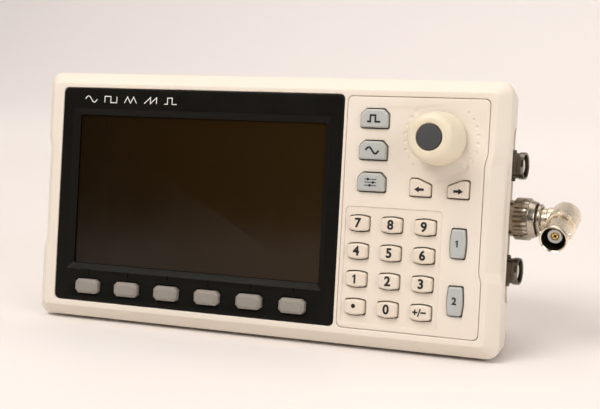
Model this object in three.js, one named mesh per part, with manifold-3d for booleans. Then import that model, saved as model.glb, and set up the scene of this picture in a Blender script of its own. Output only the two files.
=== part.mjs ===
// A bench function generator: a wide cream plastic case with a leaning front, a display behind a
// black bezel, a panel of keys and a rotary knob, and three coaxial jacks on its right side.
// The middle jack carries a right-angle bayonet adapter.
//
// Everything is laid out in the panel frame: x to the right from the bezel's left edge, z up from the
// bezel's bottom edge, y into the case from the front face. The last lines lean that frame back and
// put its origin under the middle of the object. Millimetres throughout.
import * as THREE from "three";
import { mergeVertices } from "three/addons/utils/BufferGeometryUtils.js";
import Module from "manifold-3d";

const wasm = await Module();
wasm.setup();

// ---- driving dimensions ----------------------------------------------------------------------

const LEAN = THREE.MathUtils.degToRad(7.7); // the front leans back this far, on a base cut to match
const GAP = 0.3; // clearance between neighbouring pieces
const OVERCUT = 3; // a cutter reaches this far past the faces that it opens

// Case: two shells, chamfered round the front, with thick corners and a narrower waist.
const CASE_LEFT = -8.6;
const CASE_RIGHT = 166.2;
const CASE_TOP = 82.8;
const CASE_BOTTOM = -6.3;
const CASE_CORNER = 4.2;
const CASE_CHAMFER = 4.0;
const CASE_MIDDLE = (CASE_LEFT + CASE_RIGHT) / 2;
const WAIST_STEP = 0.9;
const WAIST_SLOPES = [18, 21.5, 55.5, 59]; // heights where each side steps in and out again
const WALL = 2.2;
const SEAM_Y = 7; // parting line between the shells
const CASE_DEPTH = 50;
const REAR_SETBACK = 0.5; // the rear shell starts this far inside the front one
const REAR_SHOULDER_Y = 13; // it is straight up to here
const REAR_TAPER = 9.4; // and has drawn in this far at the back
const REAR_TOP_DROP = 2.5;
const REAR_CHAMFER = 3;

// Side pockets of the rear shell, which hold the jacks on the right and the supply on the left.
const POCKET_Y = [SEAM_Y + GAP + WALL, 45];
const POCKET_Z = [11.5, 68.5];
const POCKET_FLOOR_X = 154.8;

// Front openings.
const BEZEL = { width: 110, height: 76.9, radius: 1.8, thickness: 3 };
const WINDOW = { left: 6.6, right: 103.5, bottom: 13.5, top: 67.3, depth: 1.5 };
const WINDOW_SLOPE = 2.1;
const GLASS_LAP = 1.5; // the glass reaches this far behind the bezel all round
const PANEL = { left: 111.7, right: 159.9, bottom: 0, top: 76.5, radius: 1.8, thickness: 3 };
const KEYPAD_RECESS = { left: 112.9, right: 146.2, bottom: 1.6, top: 40.2, depth: 0.4 };

// Keys: every cap has a retaining flange behind its panel and this travel.
const KEY_TRAVEL = 1;
const FLANGE_Y = [BEZEL.thickness + GAP, BEZEL.thickness + GAP + 0.9];
const FLANGE_PROUD = 0.7;
const MAT_Y = [FLANGE_Y[1] + KEY_TRAVEL + GAP, 7.2];
const BOARD_Y = [MAT_Y[1] + GAP, MAT_Y[1] + GAP + 1.6];
const MAIN_BOARD_Y = [35, 36.6];

// Key positions: a first centre and a pitch for each group, rows running down the panel.
const SOFT_KEYS = { x: 14.1, z: 5.63, pitch: 16.26, count: 6, halfWidth: 4.75, halfHeight: 2.55, rise: 2 };
const FUNCTION_KEYS = { x: 121.5, z: 69.75, pitch: 10.48, halfWidth: 4.7, halfHeight: 3.0, rise: 1.5 };
const ARROW_KEYS = { x: [138.5, 151.2], z: 47.8, halfWidth: 3.4, halfHeight: 2.75, low: 0.9, rise: 1.3 };
const NUMBER_KEYS = {
  x: 117.9,
  z: 35,
  pitchX: 11.42,
  pitchZ: 9.23,
  halfWidth: 3.4,
  halfHeight: 2.15,
  bow: 0.4,
  rise: 1.4,
};
const CHANNEL_KEYS = { x: 152.1, z: [30.5, 12.05], halfWidth: 2.1, halfHeight: 4.6, bow: 0.4, rise: 1.3 };

// Knob and the ring of dimples round it.
const KNOB = { x: 144.4, z: 63.9, baseRadius: 8.8, frontRadius: 7.5, back: -0.9, front: -13.2 };
const KNOB_CAP = { radius: 4.05, depth: 1.2 };
const SHAFT_RADIUS = 3;
const DIMPLES = { ring: 12.3, perSide: 8, firstAngle: 45, lastAngle: 134, radii: [0.5, 1.0], depth: 0.4 };

// Coaxial jacks and the adapter.
const JACK = { y: 28, heights: [21.2, 38.9, 56.6], length: 11, radius: 4.6, bore: 3.95 };
const JACK_MOUTH_X = POCKET_FLOOR_X + JACK.length;
const LUG = { radius: 1, tipRadius: 5.3, setback: 4.4 };
const ADAPTER_DROOP = THREE.MathUtils.degToRad(22.5); // its free mouth points forward and down
const ELBOW = { x: 179.3, reach: 15.4, back: 5.2, radius: 5.1, ring: [4.7, 5.6], ringRadius: 5.3 };
const FOOT = { thickness: 1.1, width: 9, length: 150, fromFront: [5.4, 36] };

// ---- plain helpers ---------------------------------------------------------------------------

const ROUND = 20; // sides of a turned piece
const part = new THREE.Group();

function plastic(color, roughness = 0.55) {
  return new THREE.MeshStandardMaterial({ color, roughness, metalness: 0 });
}

function metal(color, roughness = 0.3) {
  return new THREE.MeshStandardMaterial({ color, roughness, metalness: 1 });
}

const cream = plastic(0xefe4d2);
const black = plastic(0x15130f, 0.4);
const nickel = metal(0xc9bda5);
const ptfe = plastic(0xf2efe6, 0.5);
const gold = metal(0xcda24a);
const circuitBoard = plastic(0x2f6b3c, 0.6);

function add(name, geometry, material) {
  const mesh = new THREE.Mesh(geometry, material.clone());
  mesh.name = name;
  part.add(mesh);
}

function toSolid(geometry) {
  const bare = geometry.clone();
  bare.deleteAttribute("normal");
  bare.deleteAttribute("uv");
  const merged = mergeVertices(bare, 1e-4);
  return new wasm.Manifold(
    new wasm.Mesh({
      numProp: 3,
      vertProperties: new Float32Array(merged.attributes.position.array),
      triVerts: new Uint32Array(merged.index.array),
    }),
  );
}

function toGeometry(solid) {
  const mesh = solid.getMesh();
  const indexed = new THREE.BufferGeometry();
  indexed.setAttribute("position", new THREE.BufferAttribute(mesh.vertProperties, 3));
  indexed.setIndex(new THREE.BufferAttribute(mesh.triVerts, 1));
  const flat = indexed.toNonIndexed();
  flat.computeVertexNormals();
  return flat;
}

function cut(geometry, ...tools) {
  return toGeometry(tools.reduce((left, tool) => left.subtract(toSolid(tool)), toSolid(geometry)));
}

function join(geometry, ...others) {
  return toGeometry(others.reduce((sum, other) => sum.add(toSolid(other)), toSolid(geometry)));
}

function box(x, y, z) {
  const geometry = new THREE.BoxGeometry(x[1] - x[0], y[1] - y[0], z[1] - z[0]);
  return geometry.translate((x[0] + x[1]) / 2, (y[0] + y[1]) / 2, (z[0] + z[1]) / 2);
}

// A closed outline in the x-z plane, anticlockwise seen from the front. Each corner is
// [x, z, radius], and a corner with no radius stays a single point.
function outline(corners, steps = 3) {
  const points = [];
  corners.forEach(([x, z, radius], i) => {
    const here = new THREE.Vector2(x, z);
    if (!radius) {
      points.push(here);
      return;
    }
    const before = corners.at(i - 1);
    const after = corners[(i + 1) % corners.length];
    const u = new THREE.Vector2(before[0] - x, before[1] - z).normalize();
    const v = new THREE.Vector2(after[0] - x, after[1] - z).normalize();
    const half = Math.acos(THREE.MathUtils.clamp(u.dot(v), -1, 1)) / 2;
    const centre = u.clone().add(v).normalize().multiplyScalar(radius / Math.sin(half)).add(here);
    const start = u.clone().multiplyScalar(radius / Math.tan(half)).add(here).sub(centre);
    const turn = Math.PI - 2 * half;
    for (let k = 0; k <= steps; k++) {
      const angle = (turn * k) / steps;
      points.push(start.clone().rotateAround(new THREE.Vector2(), angle).add(centre));
    }
  });
  return points;
}

function rectangle(left, right, bottom, top, radius, steps) {
  const corners = [
    [left, bottom, radius],
    [right, bottom, radius],
    [right, top, radius],
    [left, top, radius],
  ];
  return outline(corners, steps);
}

// A closed solid through rings of matching points, listed from the front to the back.
function loft(rings) {
  const count = rings[0].points.length;
  const position = rings.flatMap(({ y, points }) => points.flatMap((p) => [p.x, y, p.y]));
  const index = [];
  for (let r = 0; r + 1 < rings.length; r++) {
    for (let j = 0; j < count; j++) {
      const k = (j + 1) % count;
      const [a, b] = [r * count + j, r * count + k];
      index.push(a, b + count, b, a, a + count, b + count);
    }
  }
  const last = (rings.length - 1) * count;
  for (const [a, b, c] of THREE.ShapeUtils.triangulateShape(rings[0].points, [])) index.push(a, b, c);
  for (const [a, b, c] of THREE.ShapeUtils.triangulateShape(rings.at(-1).points, [])) {
    index.push(last + a, last + c, last + b);
  }
  const geometry = new THREE.BufferGeometry();
  geometry.setAttribute("position", new THREE.Float32BufferAttribute(position, 3));
  geometry.setIndex(index);
  geometry.computeVertexNormals();
  return geometry;
}

function prism(points, front, back) {
  return loft([
    { y: front, points },
    { y: back, points },
  ]);
}

// A turned piece about the y axis. The profile of [radius, y] pairs runs anticlockwise, out from the
// axis at the low end and back to it at the high end, or closes on itself.
function turned(profile, sides = ROUND) {
  return new THREE.LatheGeometry(
    profile.map(([r, y]) => new THREE.Vector2(r, y)),
    sides,
  );
}

// The profile of a plain cylinder.
function rod(radius, start, end) {
  return [[0, start], [radius, start], [radius, end], [0, end]];
}

// The profile of a plain tube, closed on itself.
function pipe(outer, inner, start, end) {
  return [[inner, start], [outer, start], [outer, end], [inner, end], [inner, start]];
}

function turnedAlongX(profile, sides) {
  return turned(profile, sides).rotateZ(-Math.PI / 2);
}

// ---- case ------------------------------------------------------------------------------------

function caseOutline(inset) {
  const left = CASE_LEFT + inset;
  const right = CASE_RIGHT - inset;
  const bottom = CASE_BOTTOM + inset;
  const top = CASE_TOP - inset;
  const radius = Math.max(CASE_CORNER - inset, 1.5);
  const [lowOut, lowIn, highIn, highOut] = WAIST_SLOPES;
  return outline([
    [left, bottom, radius],
    [right, bottom, radius],
    [right, lowOut],
    [right - WAIST_STEP, lowIn],
    [right - WAIST_STEP, highIn],
    [right, highOut],
    [right, top, radius],
    [left, top, radius],
    [left, highOut],
    [left + WAIST_STEP, highIn],
    [left + WAIST_STEP, lowIn],
    [left, lowOut],
  ], 4);
}

// Everything below the base plane, which lies level when the case stands. A positive lift raises it.
function belowBase(lift) {
  const size = { x: 400, y: 300, z: 60 }; // larger than the whole object
  const slab = new THREE.BoxGeometry(size.x, size.y, size.z).translate(0, 0, lift - size.z / 2);
  return slab.rotateX(LEAN).translate(CASE_MIDDLE, CASE_CHAMFER, CASE_BOTTOM);
}

const bezelOpening = prism(
  rectangle(-GAP, BEZEL.width + GAP, -GAP, BEZEL.height + GAP, BEZEL.radius),
  -OVERCUT,
  WALL + OVERCUT,
);

// The key panel's right edge follows the case's waist.
function panelOutline(inset) {
  const right = PANEL.right - inset;
  const [lowOut, lowIn, highIn, highOut] = WAIST_SLOPES;
  return outline([
    [PANEL.left + inset, PANEL.bottom + inset, PANEL.radius],
    [right, PANEL.bottom + inset, PANEL.radius],
    [right, lowOut],
    [right - WAIST_STEP, lowIn],
    [right - WAIST_STEP, highIn],
    [right, highOut],
    [right, PANEL.top - inset, PANEL.radius],
    [PANEL.left + inset, PANEL.top - inset, PANEL.radius],
  ]);
}

function frontShell() {
  const outside = loft([
    { y: 0, points: caseOutline(CASE_CHAMFER) },
    { y: CASE_CHAMFER, points: caseOutline(0) },
    { y: SEAM_Y, points: caseOutline(0) },
  ]);
  const slantWall = WALL * (Math.SQRT2 - 1); // keeps the chamfer's wall as thick as the others
  const inside = loft([
    { y: WALL, points: caseOutline(CASE_CHAMFER + slantWall) },
    { y: CASE_CHAMFER + slantWall, points: caseOutline(WALL) },
    { y: SEAM_Y + 1, points: caseOutline(WALL) },
  ]);
  const panelOpening = prism(panelOutline(-GAP), -OVERCUT, WALL + OVERCUT);
  return cut(cut(outside, belowBase(0)), cut(inside, belowBase(WALL)), bezelOpening, panelOpening);
}

function rearOutline(setback, drop) {
  const [left, right] = [CASE_LEFT + setback, CASE_RIGHT - setback];
  return rectangle(left, right, CASE_BOTTOM, CASE_TOP - drop, CASE_CORNER + 1, 4);
}

// The two pockets, grown on every side by a margin.
function sidePockets(margin) {
  const y = [POCKET_Y[0] - margin, POCKET_Y[1] + margin];
  const z = [POCKET_Z[0] - margin, POCKET_Z[1] + margin];
  const depth = POCKET_FLOOR_X - CASE_MIDDLE - margin;
  return [
    box([CASE_MIDDLE + depth, CASE_MIDDLE + 200], y, z),
    box([CASE_MIDDLE - 200, CASE_MIDDLE - depth], y, z),
  ];
}

// Heights and hole sizes of the left pocket's fittings, and the vent slots of the back.
const SUPPLY = { powerZ: 58, jackZ: 38, usbZ: 22, holeRadius: 4.4, usbHole: { halfY: 5, halfZ: 2.2 } };
const JACK_HOLE_RADIUS = 5;
const VENTS = { perSide: 8, pitch: 5, halfWidth: 1, bottom: 46, top: 68, reach: 6 };
const LEFT_FLOOR_X = 2 * CASE_MIDDLE - POCKET_FLOOR_X;

function rearShell() {
  const front = SEAM_Y + GAP;
  const outside = loft([
    { y: front, points: rearOutline(REAR_SETBACK, REAR_SETBACK) },
    { y: REAR_SHOULDER_Y, points: rearOutline(REAR_SETBACK, REAR_SETBACK) },
    { y: CASE_DEPTH - REAR_CHAMFER, points: rearOutline(REAR_TAPER, REAR_TOP_DROP) },
    { y: CASE_DEPTH, points: rearOutline(REAR_TAPER + REAR_CHAMFER, REAR_TOP_DROP + REAR_CHAMFER) },
  ]);
  const inside = loft([
    { y: front - 1, points: rearOutline(REAR_SETBACK + WALL, REAR_SETBACK + WALL) },
    { y: REAR_SHOULDER_Y, points: rearOutline(REAR_SETBACK + WALL, REAR_SETBACK + WALL) },
    { y: CASE_DEPTH - WALL - 1, points: rearOutline(REAR_TAPER + WALL, REAR_TOP_DROP + WALL) },
    { y: CASE_DEPTH - WALL, points: rearOutline(REAR_TAPER + WALL + 1, REAR_TOP_DROP + WALL + 1) },
  ]);
  const rightFloor = [POCKET_FLOOR_X - 2 * WALL, POCKET_FLOOR_X + 1];
  const leftFloor = [LEFT_FLOOR_X - 1, LEFT_FLOOR_X + 2 * WALL];
  const floorHole = (radius, x, z) => turnedAlongX(rod(radius, ...x)).translate(0, JACK.y, z);
  const { halfY, halfZ } = SUPPLY.usbHole;
  const sideHoles = [
    ...JACK.heights.map((z) => floorHole(JACK_HOLE_RADIUS, rightFloor, z)),
    floorHole(SUPPLY.holeRadius, leftFloor, SUPPLY.powerZ),
    floorHole(SUPPLY.holeRadius, leftFloor, SUPPLY.jackZ),
    box(leftFloor, [JACK.y - halfY, JACK.y + halfY], [SUPPLY.usbZ - halfZ, SUPPLY.usbZ + halfZ]),
  ];
  const vents = [];
  for (let i = -VENTS.perSide; i <= VENTS.perSide; i++) {
    const x = CASE_MIDDLE + i * VENTS.pitch;
    const width = [x - VENTS.halfWidth, x + VENTS.halfWidth];
    vents.push(box(width, [CASE_DEPTH - VENTS.reach, CASE_DEPTH + 1], [VENTS.bottom, VENTS.top]));
  }
  const hollow = cut(cut(inside, belowBase(WALL)), ...sidePockets(WALL));
  const skin = cut(outside, belowBase(0), ...sidePockets(0));
  return cut(skin, hollow, ...sideHoles, ...vents);
}

add("front_shell", frontShell(), cream);
add("rear_shell", rearShell(), cream);

// Two low rubber strips lie along the base plane, so the case rests level on them.
FOOT.fromFront.forEach((start, i) => {
  const strip = box(
    [-FOOT.length / 2, FOOT.length / 2],
    [start, start + FOOT.width],
    [-GAP / 3 - FOOT.thickness, -GAP / 3],
  );
  strip.rotateX(LEAN).translate(CASE_MIDDLE, CASE_CHAMFER, CASE_BOTTOM);
  add(["front_foot", "rear_foot"][i], strip, plastic(0x1c1b19, 0.8));
});

// ---- keys ------------------------------------------------------------------------------------

// A key's face is drawn by a function of its inset, so one drawing gives the flange (negative
// inset), the hole it runs in and the bevelled top.
const keys = [];

function addKey(name, x, z, face, rise, bevel, material) {
  keys.push({ name, x, z, face, rise, bevel, material });
}

function softKeyFace(inset) {
  const [w, h] = [SOFT_KEYS.halfWidth - inset, SOFT_KEYS.halfHeight - inset];
  return rectangle(-w, w, -h, h, 1.5, 2);
}

function functionKeyFace(inset) {
  const [w, h] = [FUNCTION_KEYS.halfWidth - inset, FUNCTION_KEYS.halfHeight - inset];
  return outline([[-w, -h, 0.9], [w, -h, 0.9], [w, h, 2.1], [-w, h, 2.1]]);
}

function numberKeyFace(inset) {
  const [w, h] = [NUMBER_KEYS.halfWidth - inset, NUMBER_KEYS.halfHeight - inset];
  const { bow } = NUMBER_KEYS;
  return outline([
    [-w, -h, 0.9],
    [-w / 2, -h - bow * 0.8],
    [0, -h - bow],
    [w / 2, -h - bow * 0.8],
    [w, -h, 0.9],
    [w, h, 0.9],
    [w / 2, h + bow * 0.8],
    [0, h + bow],
    [-w / 2, h + bow * 0.8],
    [-w, h, 0.9],
  ]);
}

function channelKeyFace(inset) {
  const [w, h] = [CHANNEL_KEYS.halfWidth - inset, CHANNEL_KEYS.halfHeight - inset];
  const { bow } = CHANNEL_KEYS;
  return outline([
    [-w, -h, 0.8],
    [w, -h, 0.8],
    [w + bow * 0.8, -h / 2],
    [w + bow, 0],
    [w + bow * 0.8, h / 2],
    [w, h, 0.8],
    [-w, h, 0.8],
    [-w - bow * 0.8, h / 2],
    [-w - bow, 0],
    [-w - bow * 0.8, -h / 2],
  ]);
}

// Each arrow key has a flat top on its outer side and slopes down towards the other one: side is -1
// for the left key and 1 for the right key.
function arrowKeyFace(side) {
  return (inset) => {
    const [w, tall] = [ARROW_KEYS.halfWidth - inset, ARROW_KEYS.halfHeight - inset];
    const low = ARROW_KEYS.low - inset * 0.7;
    const knee = -ARROW_KEYS.halfWidth / 3;
    const corners = [[-w, -tall, 0.8], [w, -tall, 0.8], [w, low, 0.8], [knee, tall, 1.2], [-w, tall, 0.8]];
    return outline(side < 0 ? corners : corners.map(([x, z, r]) => [-x, z, r]).reverse());
  };
}

const grey = plastic(0xa3a09a, 0.5);
const blueGrey = plastic(0xb9c3c8, 0.35);
for (let i = 0; i < SOFT_KEYS.count; i++) {
  const { x, z, pitch, rise } = SOFT_KEYS;
  addKey(`soft_key_${i + 1}`, x + pitch * i, z, softKeyFace, rise, 0.9, grey);
}
["pulse_key", "wave_key", "setup_key"].forEach((name, i) => {
  const { x, z, pitch, rise } = FUNCTION_KEYS;
  addKey(name, x, z - pitch * i, functionKeyFace, rise, 0.5, blueGrey);
});
["left_arrow_key", "right_arrow_key"].forEach((name, i) => {
  const { x, z, rise } = ARROW_KEYS;
  addKey(name, x[i], z, arrowKeyFace(2 * i - 1), rise, 0.4, cream);
});
const numberRows = [["7", "8", "9"], ["4", "5", "6"], ["1", "2", "3"], ["point", "0", "sign"]];
numberRows.forEach((row, j) =>
  row.forEach((label, i) => {
    const { x, z, pitchX, pitchZ, rise } = NUMBER_KEYS;
    addKey(`number_key_${label}`, x + pitchX * i, z - pitchZ * j, numberKeyFace, rise, 0.45, cream);
  }),
);
CHANNEL_KEYS.z.forEach((z, i) =>
  addKey(`channel_key_${i + 1}`, CHANNEL_KEYS.x, z, channelKeyFace, CHANNEL_KEYS.rise, 0.4, blueGrey),
);

function ring(key, inset, y) {
  return { y, points: key.face(inset).map((p) => new THREE.Vector2(p.x + key.x, p.y + key.z)) };
}

function keyCap(key) {
  return loft([
    ring(key, key.bevel, -key.rise),
    ring(key, 0, -key.rise + key.bevel),
    ring(key, 0, FLANGE_Y[0]),
    ring(key, -FLANGE_PROUD, FLANGE_Y[0]),
    ring(key, -FLANGE_PROUD, FLANGE_Y[1]),
  ]);
}

function keyHole(key) {
  return prism(ring(key, -GAP, 0).points, -OVERCUT, BEZEL.thickness + OVERCUT);
}

for (const key of keys) add(key.name, keyCap(key), key.material);
const softKeys = keys.slice(0, SOFT_KEYS.count);
const panelKeys = keys.slice(SOFT_KEYS.count);

// ---- display ---------------------------------------------------------------------------------

function windowOutline(grow, radius = 0.6) {
  const { left, right, bottom, top } = WINDOW;
  return rectangle(left - grow, right + grow, bottom - grow, top + grow, radius, 2);
}

function displayBezel() {
  const plate = prism(rectangle(0, BEZEL.width, 0, BEZEL.height, BEZEL.radius), 0, BEZEL.thickness);
  const funnel = loft([
    { y: -1, points: windowOutline(WINDOW_SLOPE * (1 + 1 / WINDOW.depth)) },
    { y: WINDOW.depth, points: windowOutline(0) },
    { y: BEZEL.thickness + 1, points: windowOutline(0) },
  ]);
  const glassSeat = prism(windowOutline(GLASS_LAP), WINDOW.depth + GAP, BEZEL.thickness + 1);
  return cut(plate, funnel, glassSeat, ...softKeys.map(keyHole));
}

const glass = prism(windowOutline(GLASS_LAP - GAP), WINDOW.depth + 2 * GAP, BEZEL.thickness - 0.1);
const display = box([2.5, 107.5], [BEZEL.thickness + GAP, MAT_Y[1]], [10.2, 72]);
add("display_bezel", displayBezel(), black);
add("display_window", glass, plastic(0x14100c, 0.12));
add("lcd_module", display, metal(0x9a9a98, 0.45));

// ---- key panel, mats and boards --------------------------------------------------------------

function dimples() {
  const { ring: reach, perSide, firstAngle, lastAngle, radii, depth } = DIMPLES;
  const cuts = [];
  for (let i = 0; i < perSide; i++) {
    const share = i / (perSide - 1);
    const angle = THREE.MathUtils.degToRad(THREE.MathUtils.lerp(firstAngle, lastAngle, share));
    // Clockwise from the top, both arcs grow from small to large.
    const right = { angle, radius: THREE.MathUtils.lerp(...radii, share) };
    const left = { angle: -angle, radius: THREE.MathUtils.lerp(...radii, 1 - share) };
    for (const { angle: a, radius } of [right, left]) {
      const [x, z] = [KNOB.x + reach * Math.sin(a), KNOB.z + reach * Math.cos(a)];
      const bowl = [[0, -1], [radius, -1], [radius, 0], [radius * 0.5, depth], [0, depth]];
      cuts.push(turned(bowl, 10).translate(x, 0, z));
    }
  }
  return cuts;
}

function keyPanel() {
  const plate = prism(panelOutline(0), 0, PANEL.thickness);
  const { left, right, bottom, top, depth } = KEYPAD_RECESS;
  const recess = prism(rectangle(left, right, bottom, top, 1.2), -1, depth);
  const shaftBore = turned(rod(SHAFT_RADIUS + 0.8, -OVERCUT, PANEL.thickness + OVERCUT));
  const shaftHole = shaftBore.translate(KNOB.x, 0, KNOB.z);
  return cut(plate, recess, shaftHole, ...panelKeys.map(keyHole), ...dimples());
}

add("key_panel", keyPanel(), cream);

const matOutline = rectangle(PANEL.left + 1, PANEL.right - 2, PANEL.bottom + 1, PANEL.top - 1, 1, 2);
const encoderHole = box([KNOB.x - 7, KNOB.x + 7], [0, 20], [KNOB.z - 7, KNOB.z + 7]);
add("keypad_mat", cut(prism(matOutline, ...MAT_Y), encoderHole), plastic(0x8f9396, 0.8));
add("soft_key_mat", box([6, 104], MAT_Y, [1.2, 9.6]), plastic(0x8f9396, 0.8));
const boardWidth = [LEFT_FLOOR_X + WALL + GAP, POCKET_FLOOR_X - WALL - GAP]; // clear of the pockets
add("key_board", box(boardWidth, BOARD_Y, [0.5, 75]), circuitBoard);
add("main_board", box([14, 144], MAIN_BOARD_Y, [8, 70]), circuitBoard);

// ---- knob and encoder ------------------------------------------------------------------------

// The encoder stands on the key board. Its plunger slides in the housing when the knob is pushed,
// and the shaft and knob turn on the plunger.
const ENCODER = { half: 6.2, front: BEZEL.thickness + 0.4, back: BOARD_Y[0] - GAP, bore: 4.6 };
const SHAFT = { front: KNOB.front + 4, back: ENCODER.front + 2 };
const KNOB_BORE = SHAFT_RADIUS + GAP;

const knobProfile = [
  [KNOB_BORE, KNOB.back],
  [KNOB_BORE, SHAFT.front - GAP],
  [0, SHAFT.front - GAP],
  [0, KNOB.front + KNOB_CAP.depth + GAP],
  [KNOB_CAP.radius + GAP, KNOB.front + KNOB_CAP.depth + GAP],
  [KNOB_CAP.radius + GAP, KNOB.front + 0.15],
  [KNOB.frontRadius - 1.6, KNOB.front],
  [KNOB.frontRadius - 0.5, KNOB.front + 0.5],
  [KNOB.frontRadius, KNOB.front + 1.7],
  [KNOB.baseRadius - 0.35, KNOB.front + 6],
  [KNOB.baseRadius, KNOB.back - 3.2],
  [KNOB.baseRadius - 0.3, KNOB.back],
  [KNOB_BORE, KNOB.back],
];
const capRod = rod(KNOB_CAP.radius, KNOB.front + 0.1, KNOB.front + KNOB_CAP.depth);
const shaftRod = rod(SHAFT_RADIUS, SHAFT.front, SHAFT.back);
const plungerRod = rod(SHAFT_RADIUS + 1, SHAFT.back + GAP, ENCODER.back - 1);

function atKnob(geometry) {
  return geometry.translate(KNOB.x, 0, KNOB.z);
}

add("knob", atKnob(turned(knobProfile, 32)), plastic(0xece0c4, 0.4));
add("knob_cap", atKnob(turned(capRod, 24)), plastic(0x4c4a48, 0.5));
add("encoder_shaft", atKnob(turned(shaftRod)), metal(0xb8b4ac, 0.35));
add("encoder_plunger", atKnob(turned(plungerRod)), plastic(0xd8d4cc, 0.5));
const housingBox = box(
  [-ENCODER.half, ENCODER.half],
  [ENCODER.front, ENCODER.back],
  [-ENCODER.half, ENCODER.half],
);
const housingBore = turned(rod(ENCODER.bore, ENCODER.front - 1, ENCODER.back + 1));
add("encoder_housing", atKnob(cut(housingBox, housingBore)), metal(0xa8a49c, 0.4));

// ---- coaxial jacks ---------------------------------------------------------------------------

const THREAD_RADIUS = 4.7;
const THREAD_X = POCKET_FLOOR_X - WALL - 5;
const INSULATOR_RADIUS = 2.45;
const CONTACT_RADIUS = 1.1;
const CONTACT_BORE = 0.8;

// One pin across a barrel, whose two ends are the bayonet lugs. It runs along y.
function lugPin() {
  return turned(rod(LUG.radius, -LUG.tipRadius, LUG.tipRadius), 12);
}

function jackShell() {
  const flange = { radius: 6.6, back: POCKET_FLOOR_X + GAP, front: POCKET_FLOOR_X + 1.8 };
  const profile = [
    [0, THREAD_X],
    [THREAD_RADIUS, THREAD_X],
    [THREAD_RADIUS, flange.back],
    [flange.radius, flange.back],
    [flange.radius, flange.front],
    [JACK.radius, flange.front],
    [JACK.radius, JACK_MOUTH_X],
    [0, JACK_MOUTH_X],
  ];
  const socketBack = POCKET_FLOOR_X - 1;
  const socket = rod(JACK.bore, socketBack, JACK_MOUTH_X + 1);
  const throat = rod(INSULATOR_RADIUS + GAP, THREAD_X - 1, socketBack + 1);
  const lugs = lugPin().rotateX(Math.PI / 2).translate(JACK_MOUTH_X - LUG.setback, 0, 0);
  const body = join(turnedAlongX(profile, 24), lugs);
  return cut(body, turnedAlongX(socket, 24), turnedAlongX(throat));
}

const insulatorMouth = JACK_MOUTH_X - 1;
JACK.heights.forEach((z, i) => {
  const place = (geometry) => geometry.translate(0, JACK.y, z);
  const insulator = pipe(INSULATOR_RADIUS, CONTACT_RADIUS + GAP, THREAD_X, insulatorMouth);
  const contact = pipe(CONTACT_RADIUS, CONTACT_BORE, THREAD_X - 3, insulatorMouth - 0.4);
  add(`jack_${i + 1}_shell`, place(jackShell()), nickel);
  add(`jack_${i + 1}_insulator`, place(turnedAlongX(insulator, 16)), ptfe);
  add(`jack_${i + 1}_contact`, place(turnedAlongX(contact, 12)), gold);
});

// ---- right-angle adapter on the middle jack --------------------------------------------------

const NUT = { radius: 7.1, rimRadius: 6.1, bore: 5.6, start: 159.6, end: 170.9 };
const KNURL = { count: 28, depth: 0.45, start: 163.4, end: 168.6 };
const STEM_RADIUS = 4;
const CARRIER = { radius: 5.3, start: NUT.end - 1.6, end: NUT.end + 1.5 };
const SLEEVE = { outer: 3.7, inner: 2.9, start: JACK_MOUTH_X - 5 };
const PIN = { radius: 0.5, start: JACK_MOUTH_X - 5, end: ELBOW.x - 3.4 };
// Depths along the free mouth: the insulator's seat, the socket's floor and the insulator's end.
const MOUTH = { seat: 3, socketBack: 6.6, insulatorEnd: ELBOW.reach - 2.6 };

function atMiddleJack(geometry) {
  return geometry.translate(0, JACK.y, JACK.heights[1]);
}

// A toothed band: the knurl's ridges run along the axis.
function knurledBand() {
  const points = [];
  for (let i = 0; i < 2 * KNURL.count; i++) {
    const angle = (Math.PI * i) / KNURL.count;
    const radius = NUT.radius - (i % 2) * KNURL.depth;
    points.push(new THREE.Vector2(radius * Math.cos(angle), radius * Math.sin(angle)));
  }
  return prism(points, KNURL.start, KNURL.end).rotateZ(-Math.PI / 2);
}

function couplingNut() {
  const core = turnedAlongX([
    [0, NUT.start],
    [NUT.rimRadius, NUT.start],
    [NUT.rimRadius, KNURL.start + 0.2],
    [NUT.radius - 0.6, KNURL.start + 0.2],
    [NUT.radius - 0.6, KNURL.end],
    [NUT.radius - 0.9, KNURL.end + 0.6],
    [CARRIER.radius + 0.2, NUT.end],
    [0, NUT.end],
  ], 28);
  // The shoulder at the far end turns round the stem, and the bore passes over the jack's lugs.
  const bore = turnedAlongX([
    [0, NUT.start - 1],
    [NUT.bore, NUT.start - 1],
    [NUT.bore, CARRIER.start - GAP],
    [CARRIER.radius - 0.6 + GAP, CARRIER.start - GAP],
    [CARRIER.radius - 0.6 + GAP, NUT.end + 1],
    [0, NUT.end + 1],
  ], 24);
  return cut(join(core, knurledBand()), bore);
}

// The carrier is the ring between nut and stem. The nut turns on it, and the elbow turns in it.
function carrierRing() {
  const { radius, start, end } = CARRIER;
  return turnedAlongX([
    [STEM_RADIUS + GAP, start],
    [radius - 0.6, start],
    [radius - 0.6, NUT.end + GAP],
    [radius, NUT.end + GAP],
    [radius, end],
    [STEM_RADIUS + GAP, end],
    [STEM_RADIUS + GAP, start],
  ]);
}

function alongMouth(geometry) {
  return geometry.rotateX(Math.PI + ADAPTER_DROOP).translate(ELBOW.x, 0, 0);
}

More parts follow.
